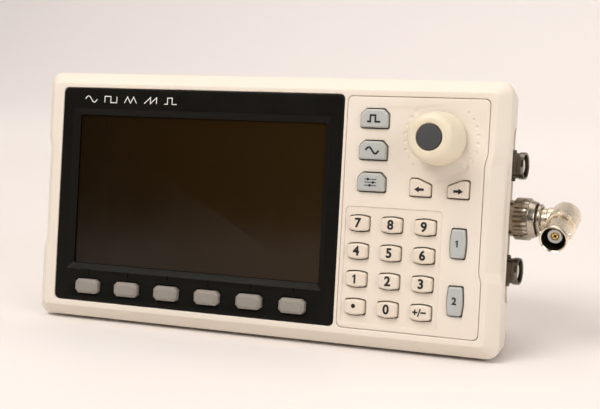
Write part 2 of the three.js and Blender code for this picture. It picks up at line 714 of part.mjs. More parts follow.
function elbow() {
  const stem = turnedAlongX([
    [0, SLEEVE.start],
    [SLEEVE.outer, SLEEVE.start],
    [SLEEVE.outer, JACK_MOUTH_X + 0.8],
    [STEM_RADIUS, JACK_MOUTH_X + 0.8],
    [STEM_RADIUS, ELBOW.x],
    [0, ELBOW.x],
  ]);
  const [ringStart, ringEnd] = ELBOW.ring;
  const mouthSide = alongMouth(turned([
    [0, -ELBOW.back],
    [ELBOW.radius - 0.5, -ELBOW.back],
    [ELBOW.radius, -ELBOW.back + 0.6],
    [ELBOW.radius, ringStart],
    [ELBOW.ringRadius, ringStart],
    [ELBOW.ringRadius, ringEnd],
    [JACK.radius, ringEnd],
    [JACK.radius, ELBOW.reach],
    [0, ELBOW.reach],
  ], 24));
  const lugs = alongMouth(lugPin().rotateZ(Math.PI / 2).translate(0, ELBOW.reach - LUG.setback, 0));
  const { seat, socketBack } = MOUTH;
  const sleeveBore = turnedAlongX(rod(SLEEVE.inner, SLEEVE.start - 1, JACK_MOUTH_X + 3));
  const pinBore = turnedAlongX(rod(PIN.radius + GAP, JACK_MOUTH_X, ELBOW.x - 3), 12);
  const socket = alongMouth(turned(rod(JACK.bore, socketBack, ELBOW.reach + 1), 24));
  const insulatorSeat = alongMouth(turned(rod(INSULATOR_RADIUS + GAP, seat, socketBack + 1)));
  return cut(join(stem, mouthSide, lugs), sleeveBore, pinBore, socket, insulatorSeat);
}

const mouthFloor = MOUTH.seat + GAP;
const contactEnd = MOUTH.insulatorEnd - 0.3;
const mouthInsulator = turned(
  pipe(INSULATOR_RADIUS, CONTACT_RADIUS + GAP, mouthFloor, MOUTH.insulatorEnd),
  16,
);
const mouthContact = turned([
  [0, mouthFloor],
  [CONTACT_RADIUS, mouthFloor],
  [CONTACT_RADIUS, contactEnd],
  [CONTACT_BORE - 0.1, contactEnd],
  [CONTACT_BORE - 0.1, MOUTH.socketBack],
  [0, MOUTH.socketBack],
], 12);
const plugPin = turnedAlongX(rod(PIN.radius, PIN.start, PIN.end), 10);
add("adapter_nut", atMiddleJack(couplingNut()), nickel);
add("adapter_carrier", atMiddleJack(carrierRing()), nickel);
add("adapter_elbow", atMiddleJack(elbow()), nickel);
add("adapter_insulator", atMiddleJack(alongMouth(mouthInsulator)), ptfe);
add("adapter_contact", atMiddleJack(alongMouth(mouthContact)), gold);
add("adapter_pin", atMiddleJack(plugPin), gold);

// ---- supply fittings in the left pocket ------------------------------------------------------

const POWER = { radius: 4, face: LEFT_FLOOR_X - 2, flange: 5 };
const powerButton = turnedAlongX([
  [0, POWER.face],
  [POWER.radius - 0.5, POWER.face],
  [POWER.radius, POWER.face + 0.5],
  [POWER.radius, LEFT_FLOOR_X + WALL + GAP],
  [POWER.flange, LEFT_FLOOR_X + WALL + GAP],
  [POWER.flange, LEFT_FLOOR_X + WALL + 1.4],
  [0, LEFT_FLOOR_X + WALL + 1.4],
], 24);
add("power_button", powerButton.translate(0, JACK.y, SUPPLY.powerZ), plastic(0x8f8c86, 0.5));

// The supply jack is a socket round a centre pin.
const SUPPLY_JACK = { radius: 4, bore: 2.9, pin: 1.05, front: LEFT_FLOOR_X - 0.4, back: LEFT_FLOOR_X + 11 };
const supplyBody = turnedAlongX(rod(SUPPLY_JACK.radius, SUPPLY_JACK.front, SUPPLY_JACK.back), 16);
const supplySocket = turnedAlongX(
  pipe(SUPPLY_JACK.bore, SUPPLY_JACK.pin, SUPPLY_JACK.front - 1, SUPPLY_JACK.back - 2),
  16,
);
const supplyJack = cut(supplyBody, supplySocket).translate(0, JACK.y, SUPPLY.jackZ);
add("supply_jack", supplyJack, plastic(0x1a1a1a, 0.5));

// The data port is a flat metal shell with a tongue across its middle.
const USB = { halfY: 4.5, halfZ: 1.7, wall: 0.35, tongue: 0.4, length: 8, depth: 6.5 };
const usbInside = [-USB.halfY + USB.wall, USB.halfY - USB.wall];
const usbDepth = [LEFT_FLOOR_X - 1, LEFT_FLOOR_X + USB.depth];
const usbPort = cut(
  box([LEFT_FLOOR_X - 0.2, LEFT_FLOOR_X + USB.length], [-USB.halfY, USB.halfY], [-USB.halfZ, USB.halfZ]),
  box(usbDepth, usbInside, [-USB.halfZ + USB.wall, -USB.tongue]),
  box(usbDepth, usbInside, [USB.tongue, USB.halfZ - USB.wall]),
);
add("usb_port", usbPort.translate(0, JACK.y, SUPPLY.usbZ), metal(0xb4b4b2, 0.35));

// ---- stand the object up ---------------------------------------------------------------------

const leaning = new THREE.Group();
leaning.rotation.x = -LEAN;
leaning.add(part);
const standing = new THREE.Group();
standing.add(leaning);
standing.updateMatrixWorld(true);
const bounds = new THREE.Box3().setFromObject(standing, true);
const middle = bounds.getCenter(new THREE.Vector3());
standing.position.set(-middle.x, -middle.y, -bounds.min.z);

export default standing;
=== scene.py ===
import math
from collections import namedtuple

import bmesh
import bpy
from mathutils import Matrix, Vector


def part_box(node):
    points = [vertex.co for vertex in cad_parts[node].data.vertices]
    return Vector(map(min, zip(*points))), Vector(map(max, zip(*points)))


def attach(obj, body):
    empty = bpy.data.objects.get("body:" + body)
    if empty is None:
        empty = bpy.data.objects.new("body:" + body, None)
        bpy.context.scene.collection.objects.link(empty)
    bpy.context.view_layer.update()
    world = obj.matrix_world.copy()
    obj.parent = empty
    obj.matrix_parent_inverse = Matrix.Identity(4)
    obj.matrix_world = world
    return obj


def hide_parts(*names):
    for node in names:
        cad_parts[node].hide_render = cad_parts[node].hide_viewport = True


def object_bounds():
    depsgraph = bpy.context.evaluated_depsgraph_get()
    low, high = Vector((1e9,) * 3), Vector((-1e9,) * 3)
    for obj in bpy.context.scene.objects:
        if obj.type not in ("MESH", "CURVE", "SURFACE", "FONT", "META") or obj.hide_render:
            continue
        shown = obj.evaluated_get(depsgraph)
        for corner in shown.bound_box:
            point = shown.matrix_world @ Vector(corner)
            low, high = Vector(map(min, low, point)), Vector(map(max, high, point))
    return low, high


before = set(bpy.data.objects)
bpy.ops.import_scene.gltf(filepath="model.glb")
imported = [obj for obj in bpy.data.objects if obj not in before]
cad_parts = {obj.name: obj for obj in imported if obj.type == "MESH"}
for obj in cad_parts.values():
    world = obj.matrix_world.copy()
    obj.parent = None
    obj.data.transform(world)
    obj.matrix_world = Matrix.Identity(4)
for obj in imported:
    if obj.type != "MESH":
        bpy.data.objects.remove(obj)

cad_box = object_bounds()

# ---- the panel frame ----
# Pieces are drawn in millimetres in the panel frame: x right from the bezel's left edge, z up from its
# bottom edge, y into the case. PANEL takes that frame to the row frame, leaning back and in metres.

MM = 0.001
LEAN = math.radians(7.7)
BEZEL_THICKNESS = 3.0

bezel_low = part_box("display_bezel")[0]
panel_origin = Vector((
    bezel_low.x,
    bezel_low.y,
    bezel_low.z + BEZEL_THICKNESS * MM * math.sin(LEAN),
))
PANEL = Matrix.Translation(panel_origin) @ Matrix.Rotation(-LEAN, 4, "X") @ Matrix.Scale(MM, 4)
BACK_TO_PANEL = PANEL.inverted()


def panel_centre(node):
    low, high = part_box(node)
    return BACK_TO_PANEL @ ((low + high) / 2)


def put(name, data):
    """A new object in the scene."""
    made = bpy.data.objects.new(name, data)
    bpy.context.scene.collection.objects.link(made)
    return made


# ---- camera, floor and lights ----

CAMERA_PLACE = (0.1820, -0.4158, 0.1092)
CAMERA_TURN = (81.81, 0.0, 23.82)
CAMERA_LENS = 77.4


def make_camera():
    data = bpy.data.cameras.new("camera")
    data.lens = CAMERA_LENS
    data.sensor_width = 36
    camera = put("camera", data)
    camera.location = CAMERA_PLACE
    camera.rotation_euler = [math.radians(a) for a in CAMERA_TURN]
    bpy.context.scene.camera = camera


def add_light(name, place, target, size, power, color):
    data = bpy.data.lights.new(name, "AREA")
    data.shape = "RECTANGLE"
    data.size, data.size_y = size
    data.energy = power
    data.color = color
    light = put(name, data)
    light.location = place
    aim = Vector(target) - Vector(place)
    light.rotation_euler = aim.to_track_quat("-Z", "Y").to_euler()


def make_floor():
    """A flat sheet that curves up into a backdrop well behind the object."""
    bend_start, bend_radius, bend_steps, half_width = 0.9, 0.6, 12, 3.0
    depth_points = [(-1.5, 0.0), (bend_start, 0.0)]
    for step in range(1, bend_steps + 1):
        angle = math.radians(90 * step / bend_steps)
        depth_points.append((bend_start + bend_radius * math.sin(angle), bend_radius * (1 - math.cos(angle))))
    depth_points.append((bend_start + bend_radius, 2.4))
    vertices = []
    for y, z in depth_points:
        vertices += [(-half_width, y, z), (half_width, y, z)]
    faces = [(2 * i, 2 * i + 1, 2 * i + 3, 2 * i + 2) for i in range(len(depth_points) - 1)]
    mesh = bpy.data.meshes.new("floor")
    mesh.from_pydata(vertices, [], faces)
    mesh.shade_smooth()
    mesh.materials.append(plain_material("floor_white", (0.85, 0.815, 0.80), 0.6))
    floor = put("floor", mesh)


def set_range(node, start, end, low, high):
    """A map range node takes start to end onto low to high."""
    for socket, number in (("From Min", start), ("From Max", end), ("To Min", low), ("To Max", high)):
        node.inputs[socket].default_value = number


def make_sky():
    """A room that is bright behind and above the object and dim behind the camera."""
    world = bpy.data.worlds.new("studio")
    world.use_nodes = True
    nodes, links = world.node_tree.nodes, world.node_tree.links
    background = nodes["Background"]
    background.inputs["Color"].default_value = (1.0, 0.95, 0.9, 1)
    direction = nodes.new("ShaderNodeTexCoord")
    split = nodes.new("ShaderNodeSeparateXYZ")
    links.new(direction.outputs["Generated"], split.inputs["Vector"])
    ramp = nodes.new("ShaderNodeMapRange")
    ramp.interpolation_type = "SMOOTHSTEP"
    set_range(ramp, -0.75, 0.35, 0.06, 0.7)
    links.new(split.outputs["Y"], ramp.inputs["Value"])
    links.new(ramp.outputs["Result"], background.inputs["Strength"])
    bpy.context.scene.world = world


OBJECT_MIDDLE = (0.0, 0.0, 0.045)
LIGHTS = {  # place, target, size, power in watts, colour
    "key_light": ((-0.35, -0.75, 1.1), OBJECT_MIDDLE, (0.9, 0.7), 13.8, (1, 0.94, 0.885)),
    "top_light": ((0.1, 0.3, 1.2), OBJECT_MIDDLE, (1.2, 0.8), 3.5, (1, 0.88, 0.79)),
    "side_light": ((1.0, -0.7, 0.6), OBJECT_MIDDLE, (0.6, 0.6), 5.2, (1, 0.96, 0.93)),
    "backdrop_light": ((0.0, 0.7, 0.75), (0.0, 1.4, 0.1), (2.8, 0.5), 7.0, (1, 0.95, 0.92)),
}


def make_studio():
    bpy.context.scene.view_settings.view_transform = "Standard"
    make_sky()
    for name, values in LIGHTS.items():
        add_light(name, *values)


# ---- materials ----


class Shader:
    """A material's node tree, with short calls for the nodes that the finishes share."""

    def __init__(self, name, color, roughness, metallic=0.0):
        self.material = bpy.data.materials.new(name)
        self.material.use_nodes = True
        self.tree = self.material.node_tree
        self.principled = self.tree.nodes["Principled BSDF"]
        self.place = self.add("ShaderNodeTexCoord").outputs["Object"]
        self.set("Base Color", (*color, 1))
        self.set("Roughness", roughness)
        self.set("Metallic", metallic)
        self.material.diffuse_color = (*color, 1)
        self.color = color
        self.height = None

    def add(self, kind, **values):
        node = self.tree.nodes.new(kind)
        for key, value in values.items():
            setattr(node, key, value)
        return node

    def link(self, output, socket):
        self.tree.links.new(output, socket)

    def set(self, socket, value):
        self.principled.inputs[socket].default_value = value

    def noise(self, scale, detail, stretch=None, distortion=0.0):
        """Noise over the object, with features about 1/scale metres across."""
        node = self.add("ShaderNodeTexNoise")
        node.inputs["Scale"].default_value = scale
        node.inputs["Detail"].default_value = detail
        node.inputs["Distortion"].default_value = distortion
        source = self.place
        if stretch:
            mapping = self.add("ShaderNodeMapping")
            mapping.inputs["Scale"].default_value = stretch
            self.link(source, mapping.inputs["Vector"])
            source = mapping.outputs["Vector"]
        self.link(source, node.inputs["Vector"])
        return node.outputs["Fac"]

    def spread(self, value, low, high, start=0.3, end=0.7):
        node = self.add("ShaderNodeMapRange")
        set_range(node, start, end, low, high)
        self.link(value, node.inputs["Value"])
        return node.outputs["Result"]

    def vary_color(self, value, low, high):
        """Colour runs from low to high times the base colour as the value rises."""
        mix = self.add("ShaderNodeMix", data_type="RGBA")
        for socket, factors in (("A", low), ("B", high)):
            mix.inputs[socket].default_value = (*[c * f for c, f in zip(self.color, factors)], 1)
        self.link(value, mix.inputs["Factor"])
        self.link(mix.outputs["Result"], self.principled.inputs["Base Color"])

    def vary_roughness(self, value, low, high):
        self.link(self.spread(value, low, high), self.principled.inputs["Roughness"])

    def bump(self, value, height):
        node = self.add("ShaderNodeBump")
        node.inputs["Distance"].default_value = height
        self.link(value, node.inputs["Height"])
        if self.height:
            self.link(self.height, node.inputs["Normal"])
        self.height = node.outputs["Normal"]
        self.link(self.height, self.principled.inputs["Normal"])


def plain_material(name, color, roughness):
    shader = Shader(name, color, roughness)
    shader.vary_color(shader.noise(3, 2), (0.985, 0.985, 0.985), (1.01, 1.01, 1.01))
    return shader.material


def moulded_plastic(name, color, roughness, grain=0.00002, soft=0.0, shine=0.5):
    """Moulded plastic: fine spark-eroded grain, slow colour drift, and faint handling marks."""
    shader = Shader(name, color, roughness)
    drift = shader.spread(shader.noise(28, 4), 0, 1)
    shader.vary_color(drift, (0.975, 0.97, 0.96), (1.015, 1.015, 1.015))
    shader.vary_roughness(shader.noise(90, 6, distortion=0.6), roughness - 0.06, roughness + 0.08)
    shader.bump(shader.noise(2600, 2), grain)
    shader.set("Specular IOR Level", shine)
    if soft:
        shader.set("Subsurface Weight", soft)
        shader.set("Subsurface Radius", (1.0, 0.8, 0.55))
        shader.set("Subsurface Scale", 0.0015)
    return shader.material


def plated_metal(name, color, roughness, axis_scale=(1, 1, 1)):
    """Bright plated metal, turned: fine rings across the axis, with a slow tarnish."""
    shader = Shader(name, color, roughness, metallic=1.0)
    tarnish = shader.spread(shader.noise(220, 5, distortion=0.8), 0, 1)
    shader.vary_color(tarnish, (0.84, 0.82, 0.77), (1.04, 1.03, 1.0))
    shader.vary_roughness(shader.noise(500, 4), roughness - 0.05, roughness + 0.1)
    shader.bump(shader.noise(400, 3, stretch=axis_scale), 0.000012)
    return shader.material


def dark_glass(name):
    """The polished sheet over the display: almost black, with a painted reflection that brightens it towards
    the right.
    """
    shader = Shader(name, (0.007, 0.004, 0.0012), 0.16)
    split = shader.add("ShaderNodeSeparateXYZ")
    shader.link(shader.place, split.inputs["Vector"])
    # painted reflection: the base colour brightens from the window's left edge towards its right
    across = shader.spread(split.outputs["X"], 0, 1, cad_box[0].x, cad_box[0].x + 0.115)
    shader.vary_color(across, (1.1, 1.0, 0.7), (3.2, 2.9, 2.2))
    shader.vary_roughness(shader.noise(60, 5, distortion=1.2), 0.12, 0.2)
    shader.bump(shader.noise(35, 1), 0.000004)
    shader.set("Specular IOR Level", 0.2)
    return shader.material


def circuit_green(name):
    """Solder mask over a web of traces."""
    shader = Shader(name, (0.03, 0.16, 0.06), 0.4)
    traces = shader.add("ShaderNodeTexVoronoi", feature="DISTANCE_TO_EDGE")
    traces.inputs["Scale"].default_value = 160
    shader.link(shader.place, traces.inputs["Vector"])
    edge = shader.spread(traces.outputs["Distance"], 1, 0, 0.02, 0.05)
    shader.vary_color(edge, (0.85, 0.85, 0.85), (1.8, 1.5, 1.4))
    shader.bump(edge, 0.00003)
    return shader.material


def rubber(name, color):
    shader = Shader(name, color, 0.8)
    shader.vary_color(shader.spread(shader.noise(120, 5), 0, 1), (0.8, 0.8, 0.8), (1.25, 1.25, 1.25))
    shader.vary_roughness(shader.noise(200, 3), 0.7, 0.88)
    shader.bump(shader.noise(1500, 3), 0.00004)
    return shader.material


def printed_ink(name, color):
    shader = Shader(name, color, 0.5)
    shader.vary_color(shader.spread(shader.noise(900, 3), 0, 1), (0.9, 0.9, 0.9), (1.12, 1.12, 1.12))
    shader.bump(shader.noise(2600, 2), 0.000008)
    return shader.material


ACROSS_X = (8.0, 0.4, 0.4)  # stretches noise into rings round a barrel that runs along x
MATERIALS = {
    "case": moulded_plastic("case_cream", (0.80, 0.73, 0.64), 0.46, grain=0.000025),
    "panel": moulded_plastic("panel_cream", (0.79, 0.72, 0.63), 0.5),
    "bezel": moulded_plastic("bezel_black", (0.005, 0.0045, 0.003), 0.4, grain=0.000012, shine=0.12),
    "glass": dark_glass("window_dark"),
    "soft_key": moulded_plastic("key_grey", (0.275, 0.25, 0.22), 0.5, soft=0.05),
    "blue_key": moulded_plastic("key_blue_grey", (0.47, 0.49, 0.48), 0.32, grain=0.000008, soft=0.15),
    "cream_key": moulded_plastic("key_cream", (0.755, 0.675, 0.575), 0.42, grain=0.00001, soft=0.1),
    "knob": moulded_plastic("knob_ivory", (0.765, 0.69, 0.54), 0.36, grain=0.000006, soft=0.15),
    "knob_cap": moulded_plastic("knob_grey", (0.048, 0.050, 0.052), 0.5, grain=0.00003),
    # one nickel plating in lit and shaded copies: painted shade darkens the barrels inside the side pocket
    # most and the nut and carrier ring less; painted light brightens the elbow outside the pocket
    "barrel": plated_metal("nickel_plate", (0.22, 0.205, 0.185), 0.16, ACROSS_X),
    "nut": plated_metal("nickel_knurled_painted_half_shade", (0.50, 0.46, 0.40), 0.22, ACROSS_X),
    "elbow": plated_metal("nickel_satin_painted_light", (0.95, 0.87, 0.74), 0.24, ACROSS_X),
    # inside a bore: a near-black copy of the plating, painted shade for the deep hole
    "bore": plated_metal("bore_painted_shade", (0.10, 0.085, 0.065), 0.4, ACROSS_X),
    "steel": plated_metal("steel_plate", (0.55, 0.55, 0.54), 0.32),
    "gold": plated_metal("gold_plate", (0.83, 0.58, 0.22), 0.25, ACROSS_X),
    "ptfe": moulded_plastic("white_insulator", (0.92, 0.88, 0.78), 0.4, grain=0.000006, soft=0.2),
    "foot": rubber("foot_rubber", (0.02, 0.02, 0.019)),
    "mat": rubber("mat_rubber", (0.22, 0.24, 0.25)),
    "board": circuit_green("circuit_board"),
    "ink": printed_ink("ink_black", (0.005, 0.0045, 0.004)),
    "white_ink": printed_ink("ink_white", (0.78, 0.77, 0.74)),
    "socket": moulded_plastic("socket_black", (0.02, 0.02, 0.02), 0.5),
}


# ---- mesh helpers ----

SHARP_ANGLE = math.radians(32)
QUARTER_STEPS = 4
BORE_MARGIN = 0.1  # faces this far outside a bore's radius still count as its inside


def fillet(corners, steps, closed=True):
    """Points along a polygon whose corners (x, z, radius) are rounded; radius 0 keeps a corner."""
    points = []
    count = len(corners)
    for i, (x, z, radius) in enumerate(corners):
        here = Vector((x, z))
        ends = not closed and i in (0, count - 1)
        if not radius or ends:
            points.append(here)
            continue
        u = (Vector(corners[i - 1][:2]) - here).normalized()
        v = (Vector(corners[(i + 1) % count][:2]) - here).normalized()
        half = u.angle(v) / 2
        centre = here + (u + v).normalized() * radius / math.sin(half)
        start = here + u * radius / math.tan(half) - centre
        sweep = math.pi - 2 * half
        if u.x * v.y - u.y * v.x > 0:
            sweep = -sweep
        for k in range(steps + 1):
            angle = sweep * k / steps
            c, s = math.cos(angle), math.sin(angle)
            points.append(centre + Vector((c * start.x - s * start.y, s * start.x + c * start.y)))
    return points


def open_line(corners, steps):
    return fillet(corners, steps, closed=False)


def rectangle(left, right, bottom, top, radius, steps=6):
    corners = [(left, bottom, radius), (right, bottom, radius), (right, top, radius), (left, top, radius)]
    return fillet(corners, steps)


def loft(rings, cap_rings=0, crown=0.0, centre=None):
    """A closed mesh through (y, points) rings from the front to the back. With cap_rings, the front is
    filled by rings that shrink to the centre, raised by crown in the middle."""
    rings = list(rings)
    if cap_rings:
        y, points = rings[0]
        middle = centre or sum(points, Vector((0, 0))) / len(points)
        for k in range(1, cap_rings + 1):
            share = 1 - k / (cap_rings + 1)
            shrunk = [middle + (p - middle) * share for p in points]
            rings.insert(0, (y - crown * (1 - share * share), shrunk))
    mesh = bmesh.new()
    count = len(rings[0][1])
    loops = [[mesh.verts.new((p.x, y, p.y)) for p in points] for y, points in rings]
    for front, back in zip(loops, loops[1:]):
        for j in range(count):
            k = (j + 1) % count
            mesh.faces.new((front[j], back[j], back[k], front[k]))
    mesh.faces.new(loops[0])
    mesh.faces.new(reversed(loops[-1]))
    return mesh


def spin(profile, sides, closed=False):
    """A turned mesh about y from (radius, y) pairs. An open profile starts and ends on the axis."""
    mesh = bmesh.new()
    rings = []
    for radius, y in profile:
        if radius < 1e-6:
            rings.append([mesh.verts.new((0, y, 0))])
            continue
        ring = []
        for j in range(sides):
            angle = math.tau * j / sides
            ring.append(mesh.verts.new((radius * math.cos(angle), y, -radius * math.sin(angle))))
        rings.append(ring)
    pairs = list(zip(rings, rings[1:]))
    if closed:
        pairs.append((rings[-1], rings[0]))
    for low, high in pairs:
        for j in range(sides):
            k = (j + 1) % sides
            corners = [low[j % len(low)], low[k % len(low)], high[k % len(high)], high[j % len(high)]]
            unique = list(dict.fromkeys(corners))
            if len(unique) > 2:
                mesh.faces.new(unique)
    return mesh


def rod(radius, start, end, sides=48):
    """A plain cylinder along y."""
    return spin([(0, start), (radius, start), (radius, end), (0, end)], sides)


def block(width, depth, height):
    mesh = bmesh.new()
    bmesh.ops.create_cube(mesh, size=1)
    bmesh.ops.scale(mesh, vec=(width, depth, height), verts=mesh.verts)
    return mesh


def move(mesh, x=0.0, y=0.0, z=0.0):
    bmesh.ops.translate(mesh, vec=(x, y, z), verts=mesh.verts)
    return mesh


def turn(mesh, angle, axis):
    bmesh.ops.rotate(mesh, matrix=Matrix.Rotation(angle, 3, axis), verts=mesh.verts)
    return mesh


def along_x(mesh):
    return turn(mesh, -math.pi / 2, "Z")


def merged(meshes):
    """One bmesh holding several, each still closed."""
    together = bmesh.new()
    for mesh in meshes:
        held = bpy.data.meshes.new("held")
        mesh.to_mesh(held)
        mesh.free()
        together.from_mesh(held)
        bpy.data.meshes.remove(held)
    return together


def as_object(mesh, name):
    bmesh.ops.recalc_face_normals(mesh, faces=mesh.faces)
    data = bpy.data.meshes.new(name)
    mesh.to_mesh(data)
    mesh.free()
    return put(name, data)


def combine(base, tools, operation="DIFFERENCE"):
    """Cuts the tools out of the base, or joins them to it, and returns one bmesh."""
    body = as_object(base, "base")
    tool = as_object(tools, "tools")
    modifier = body.modifiers.new("cut", "BOOLEAN")
    modifier.operation = operation
    modifier.solver = "EXACT"
    modifier.object = tool
    evaluated = body.evaluated_get(bpy.context.evaluated_depsgraph_get())
    result = bmesh.new()
    result.from_mesh(evaluated.to_mesh())
    bpy.data.objects.remove(body)
    bpy.data.objects.remove(tool)
    return result


def cross(length, depth, width, y, angle):
    """Two bars that cross at right angles on the y axis, as in a screw's head."""
    bars = [turn(move(block(length, depth, width), y=y), angle + math.pi / 2 * k, "Y") for k in (0, 1)]
    return combine(bars[0], bars[1], "UNION")


def mark_bore(mesh, radius, origin=Vector((0, 0, 0)), direction=Vector((1, 0, 0))):
    """The faces within a radius of the line ahead of the origin take the piece's second material, the painted
    shade inside a bore.
    """
    for face in mesh.faces:
        offset = face.calc_center_median() - origin
        along = offset.dot(direction)
        if along > 0 and (offset - along * direction).length < radius + BORE_MARGIN:
            face.material_index = 1


def add_piece(name, mesh, material, body, replaces=(), slot=None, inside=None):
    """Puts a mesh drawn in the panel frame into the row frame and rides it on its body."""
    bmesh.ops.transform(mesh, matrix=PANEL, verts=mesh.verts)
    made = as_object(mesh, name)
    made.data.shade_smooth()
    made.data.set_sharp_from_angle(angle=SHARP_ANGLE)
    made.data.materials.append(MATERIALS[material])
    # the second material is the painted shade on the faces that mark_bore put inside a bore
    if inside:
        made.data.materials.append(MATERIALS[inside])
    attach(made, body)
    if replaces:
        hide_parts(*replaces)


def quarter(radius):
    """(inset, y) pairs of a quarter round from a face at y = 0 to a side at inset 0."""
    pairs = []
    for k in range(QUARTER_STEPS + 1):
        angle = math.pi / 2 * k / QUARTER_STEPS
        pairs.append((radius * (1 - math.sin(angle)), radius * (1 - math.cos(angle))))
    return pairs


def rounded_plate(outline_of, edge, front, back):
    """A plate between two depths with rounded front edges. outline_of(inset) gives the outline."""
    rings = [(front + y, outline_of(inset)) for inset, y in quarter(edge)]
    return loft([*rings, (back, outline_of(0))])


def hole(outline_of, lip, depth, clearance):
    """A cutter for a hole with a rounded lip. outline_of(inset) gives the outline."""
    rings = [(y, outline_of(-clearance - inset)) for inset, y in quarter(lip)]
    return loft([(-6.0, outline_of(-clearance - lip)), *rings, (depth, outline_of(-clearance))])


# ---- case ----

CASE_LEFT, CASE_RIGHT = -8.6, 166.2
CASE_BOTTOM, CASE_TOP = -6.3, 82.8
CASE_MIDDLE = (CASE_LEFT + CASE_RIGHT) / 2
CASE_CORNER, CASE_CHAMFER, CASE_DEPTH = 4.2, 4.0, 50.0
SEAM = 7.0
WALL = 2.2
GAP = 0.3
WAIST_STEP = 0.9
WAIST_SLOPES = (18.0, 21.5, 55.5, 59.0)
WAIST_ROUND = 3.0
REAR_SETBACK, REAR_TAPER, REAR_TOP_DROP, REAR_CHAMFER = 0.5, 9.4, 2.5, 3.0
REAR_SHOULDER = 13.0
REAR_CORNER = CASE_DEPTH - REAR_CHAMFER
POCKET_Y = (SEAM + GAP + WALL, 45.0)
POCKET_Z = (11.5, 68.5)
POCKET_CORNER, POCKET_FLOOR_ROUND = 2.5, 1.2
POCKET_FLOOR = 154.8
LEFT_FLOOR = 2 * CASE_MIDDLE - POCKET_FLOOR
BEZEL = (110.0, 76.9)
BEZEL_CORNER = 1.8


def waisted(left, right, bottom, top, radius, both_sides=True):
    low_out, low_in, high_in, high_out = WAIST_SLOPES
    right_side = [
        (right, low_out, WAIST_ROUND), (right - WAIST_STEP, low_in, WAIST_ROUND),
        (right - WAIST_STEP, high_in, WAIST_ROUND), (right, high_out, WAIST_ROUND),
    ]
    left_side = [(left + right - x, z, r) for x, z, r in reversed(right_side)] if both_sides else []
    corners = [(left, bottom, radius), (right, bottom, radius), *right_side]
    return fillet([*corners, (right, top, radius), (left, top, radius), *left_side], 8)


def case_outline(inset):
    radius = max(CASE_CORNER - inset, 1.5)
    return waisted(CASE_LEFT + inset, CASE_RIGHT - inset, CASE_BOTTOM + inset, CASE_TOP - inset, radius)


def below_base(lift):
    """Everything under the base plane, which lies level when the case stands."""
    depth = 60
    slab = turn(move(block(400, 300, depth), z=lift - depth / 2), LEAN, "X")
    return move(slab, CASE_MIDDLE, CASE_CHAMFER, CASE_BOTTOM)


def bezel_outline(inset):
    return rectangle(inset, BEZEL[0] - inset, inset, BEZEL[1] - inset, BEZEL_CORNER)


def panel_outline(inset):
    left, right, bottom, top = 111.7, 159.9, 0.0, 76.5
    return waisted(left + inset, right - inset, bottom + inset, top - inset, 1.8, both_sides=False)


def front_shell():
    profile = open_line([
        (CASE_CHAMFER + 2.2, 0, 0), (CASE_CHAMFER, 0, 0.9), (0, CASE_CHAMFER, 1.2), (0, SEAM, 0.6),
        (0.8, SEAM, 0),
    ], 6)
    outside = loft([(p.y, case_outline(p.x)) for p in profile])
    slant = WALL * (math.sqrt(2) - 1)
    inside = loft([
        (WALL, case_outline(CASE_CHAMFER + slant)),
        (CASE_CHAMFER + slant, case_outline(WALL)),
        (SEAM + 5, case_outline(WALL)),
    ])
    openings = merged([
        hole(bezel_outline, 0.45, WALL + 4, GAP),
        hole(panel_outline, 0.35, WALL + 4, GAP),
    ])
    shell = combine(combine(outside, below_base(0)), combine(inside, below_base(WALL)))
    shell = combine(shell, openings)
    add_piece("front_cover", shell, "case", "case", ["front_shell"], "case_cream")


def rear_drop(y):
    """How far the rear shell's top has come down at y: level up to the shoulder, then sloping."""
    if y > REAR_CORNER:
        return REAR_TOP_DROP + y - REAR_CORNER
    share = max(y - REAR_SHOULDER, 0) / (REAR_CORNER - REAR_SHOULDER)
    return REAR_SETBACK + (REAR_TOP_DROP - REAR_SETBACK) * share


def rear_outline(setback, drop):
    left, right, top = CASE_LEFT + setback, CASE_RIGHT - setback, CASE_TOP - drop
    return rectangle(left, right, CASE_BOTTOM, top, CASE_CORNER + 1, 8)


def right_pocket(margin):
    """The recess in the right side, grown by a margin and drawn as a loft along x."""
    def outline_of(inset):
        grow = margin - inset
        low, high = -POCKET_Y[1] - grow, -POCKET_Y[0] + grow
        return rectangle(low, high, POCKET_Z[0] - grow, POCKET_Z[1] + grow, POCKET_CORNER)
    return along_x(rounded_plate(outline_of, POCKET_FLOOR_ROUND, POCKET_FLOOR - margin, POCKET_FLOOR + 60))


def side_pockets(margin):
    left = right_pocket(margin)
    bmesh.ops.scale(left, vec=(-1, 1, 1), verts=left.verts)
    return merged([right_pocket(margin), move(left, x=2 * CASE_MIDDLE)])


def at_side(mesh, z):
    """Puts a mesh drawn along x on the line of fittings that runs through both side pockets."""
    return move(mesh, 0, JACK_Y, z)


JACK_Y = 28.0
JACK_HEIGHTS = (21.2, 38.9, 56.6)
POWER_Z, SUPPLY_Z, USB_Z = 58.0, 38.0, 22.0
JACK_HOLE, SUPPLY_HOLE, USB_HOLE = 5.0, 4.4, (5.0, 2.2)
SCREWS = [(x, z) for x in (CASE_MIDDLE - 66, CASE_MIDDLE + 66) for z in (10.0, 70.0)]
SCREW_SEAT, SCREW_SEAT_RADIUS = CASE_DEPTH - 1.8, 3.6
SCREW_HEAD = [(0, -6), (1.3, -6), (1.3, 0.05), (2.9, 0.05), (2.9, 0.7), (2.4, 1.2), (1.2, 1.55), (0, 1.6)]
VENTS_PER_SIDE, VENT_PITCH = 8, 5.0
VENT_HALF, VENT_LIP = 1.0, 0.4
VENT_Z = (46.0, 68.0)


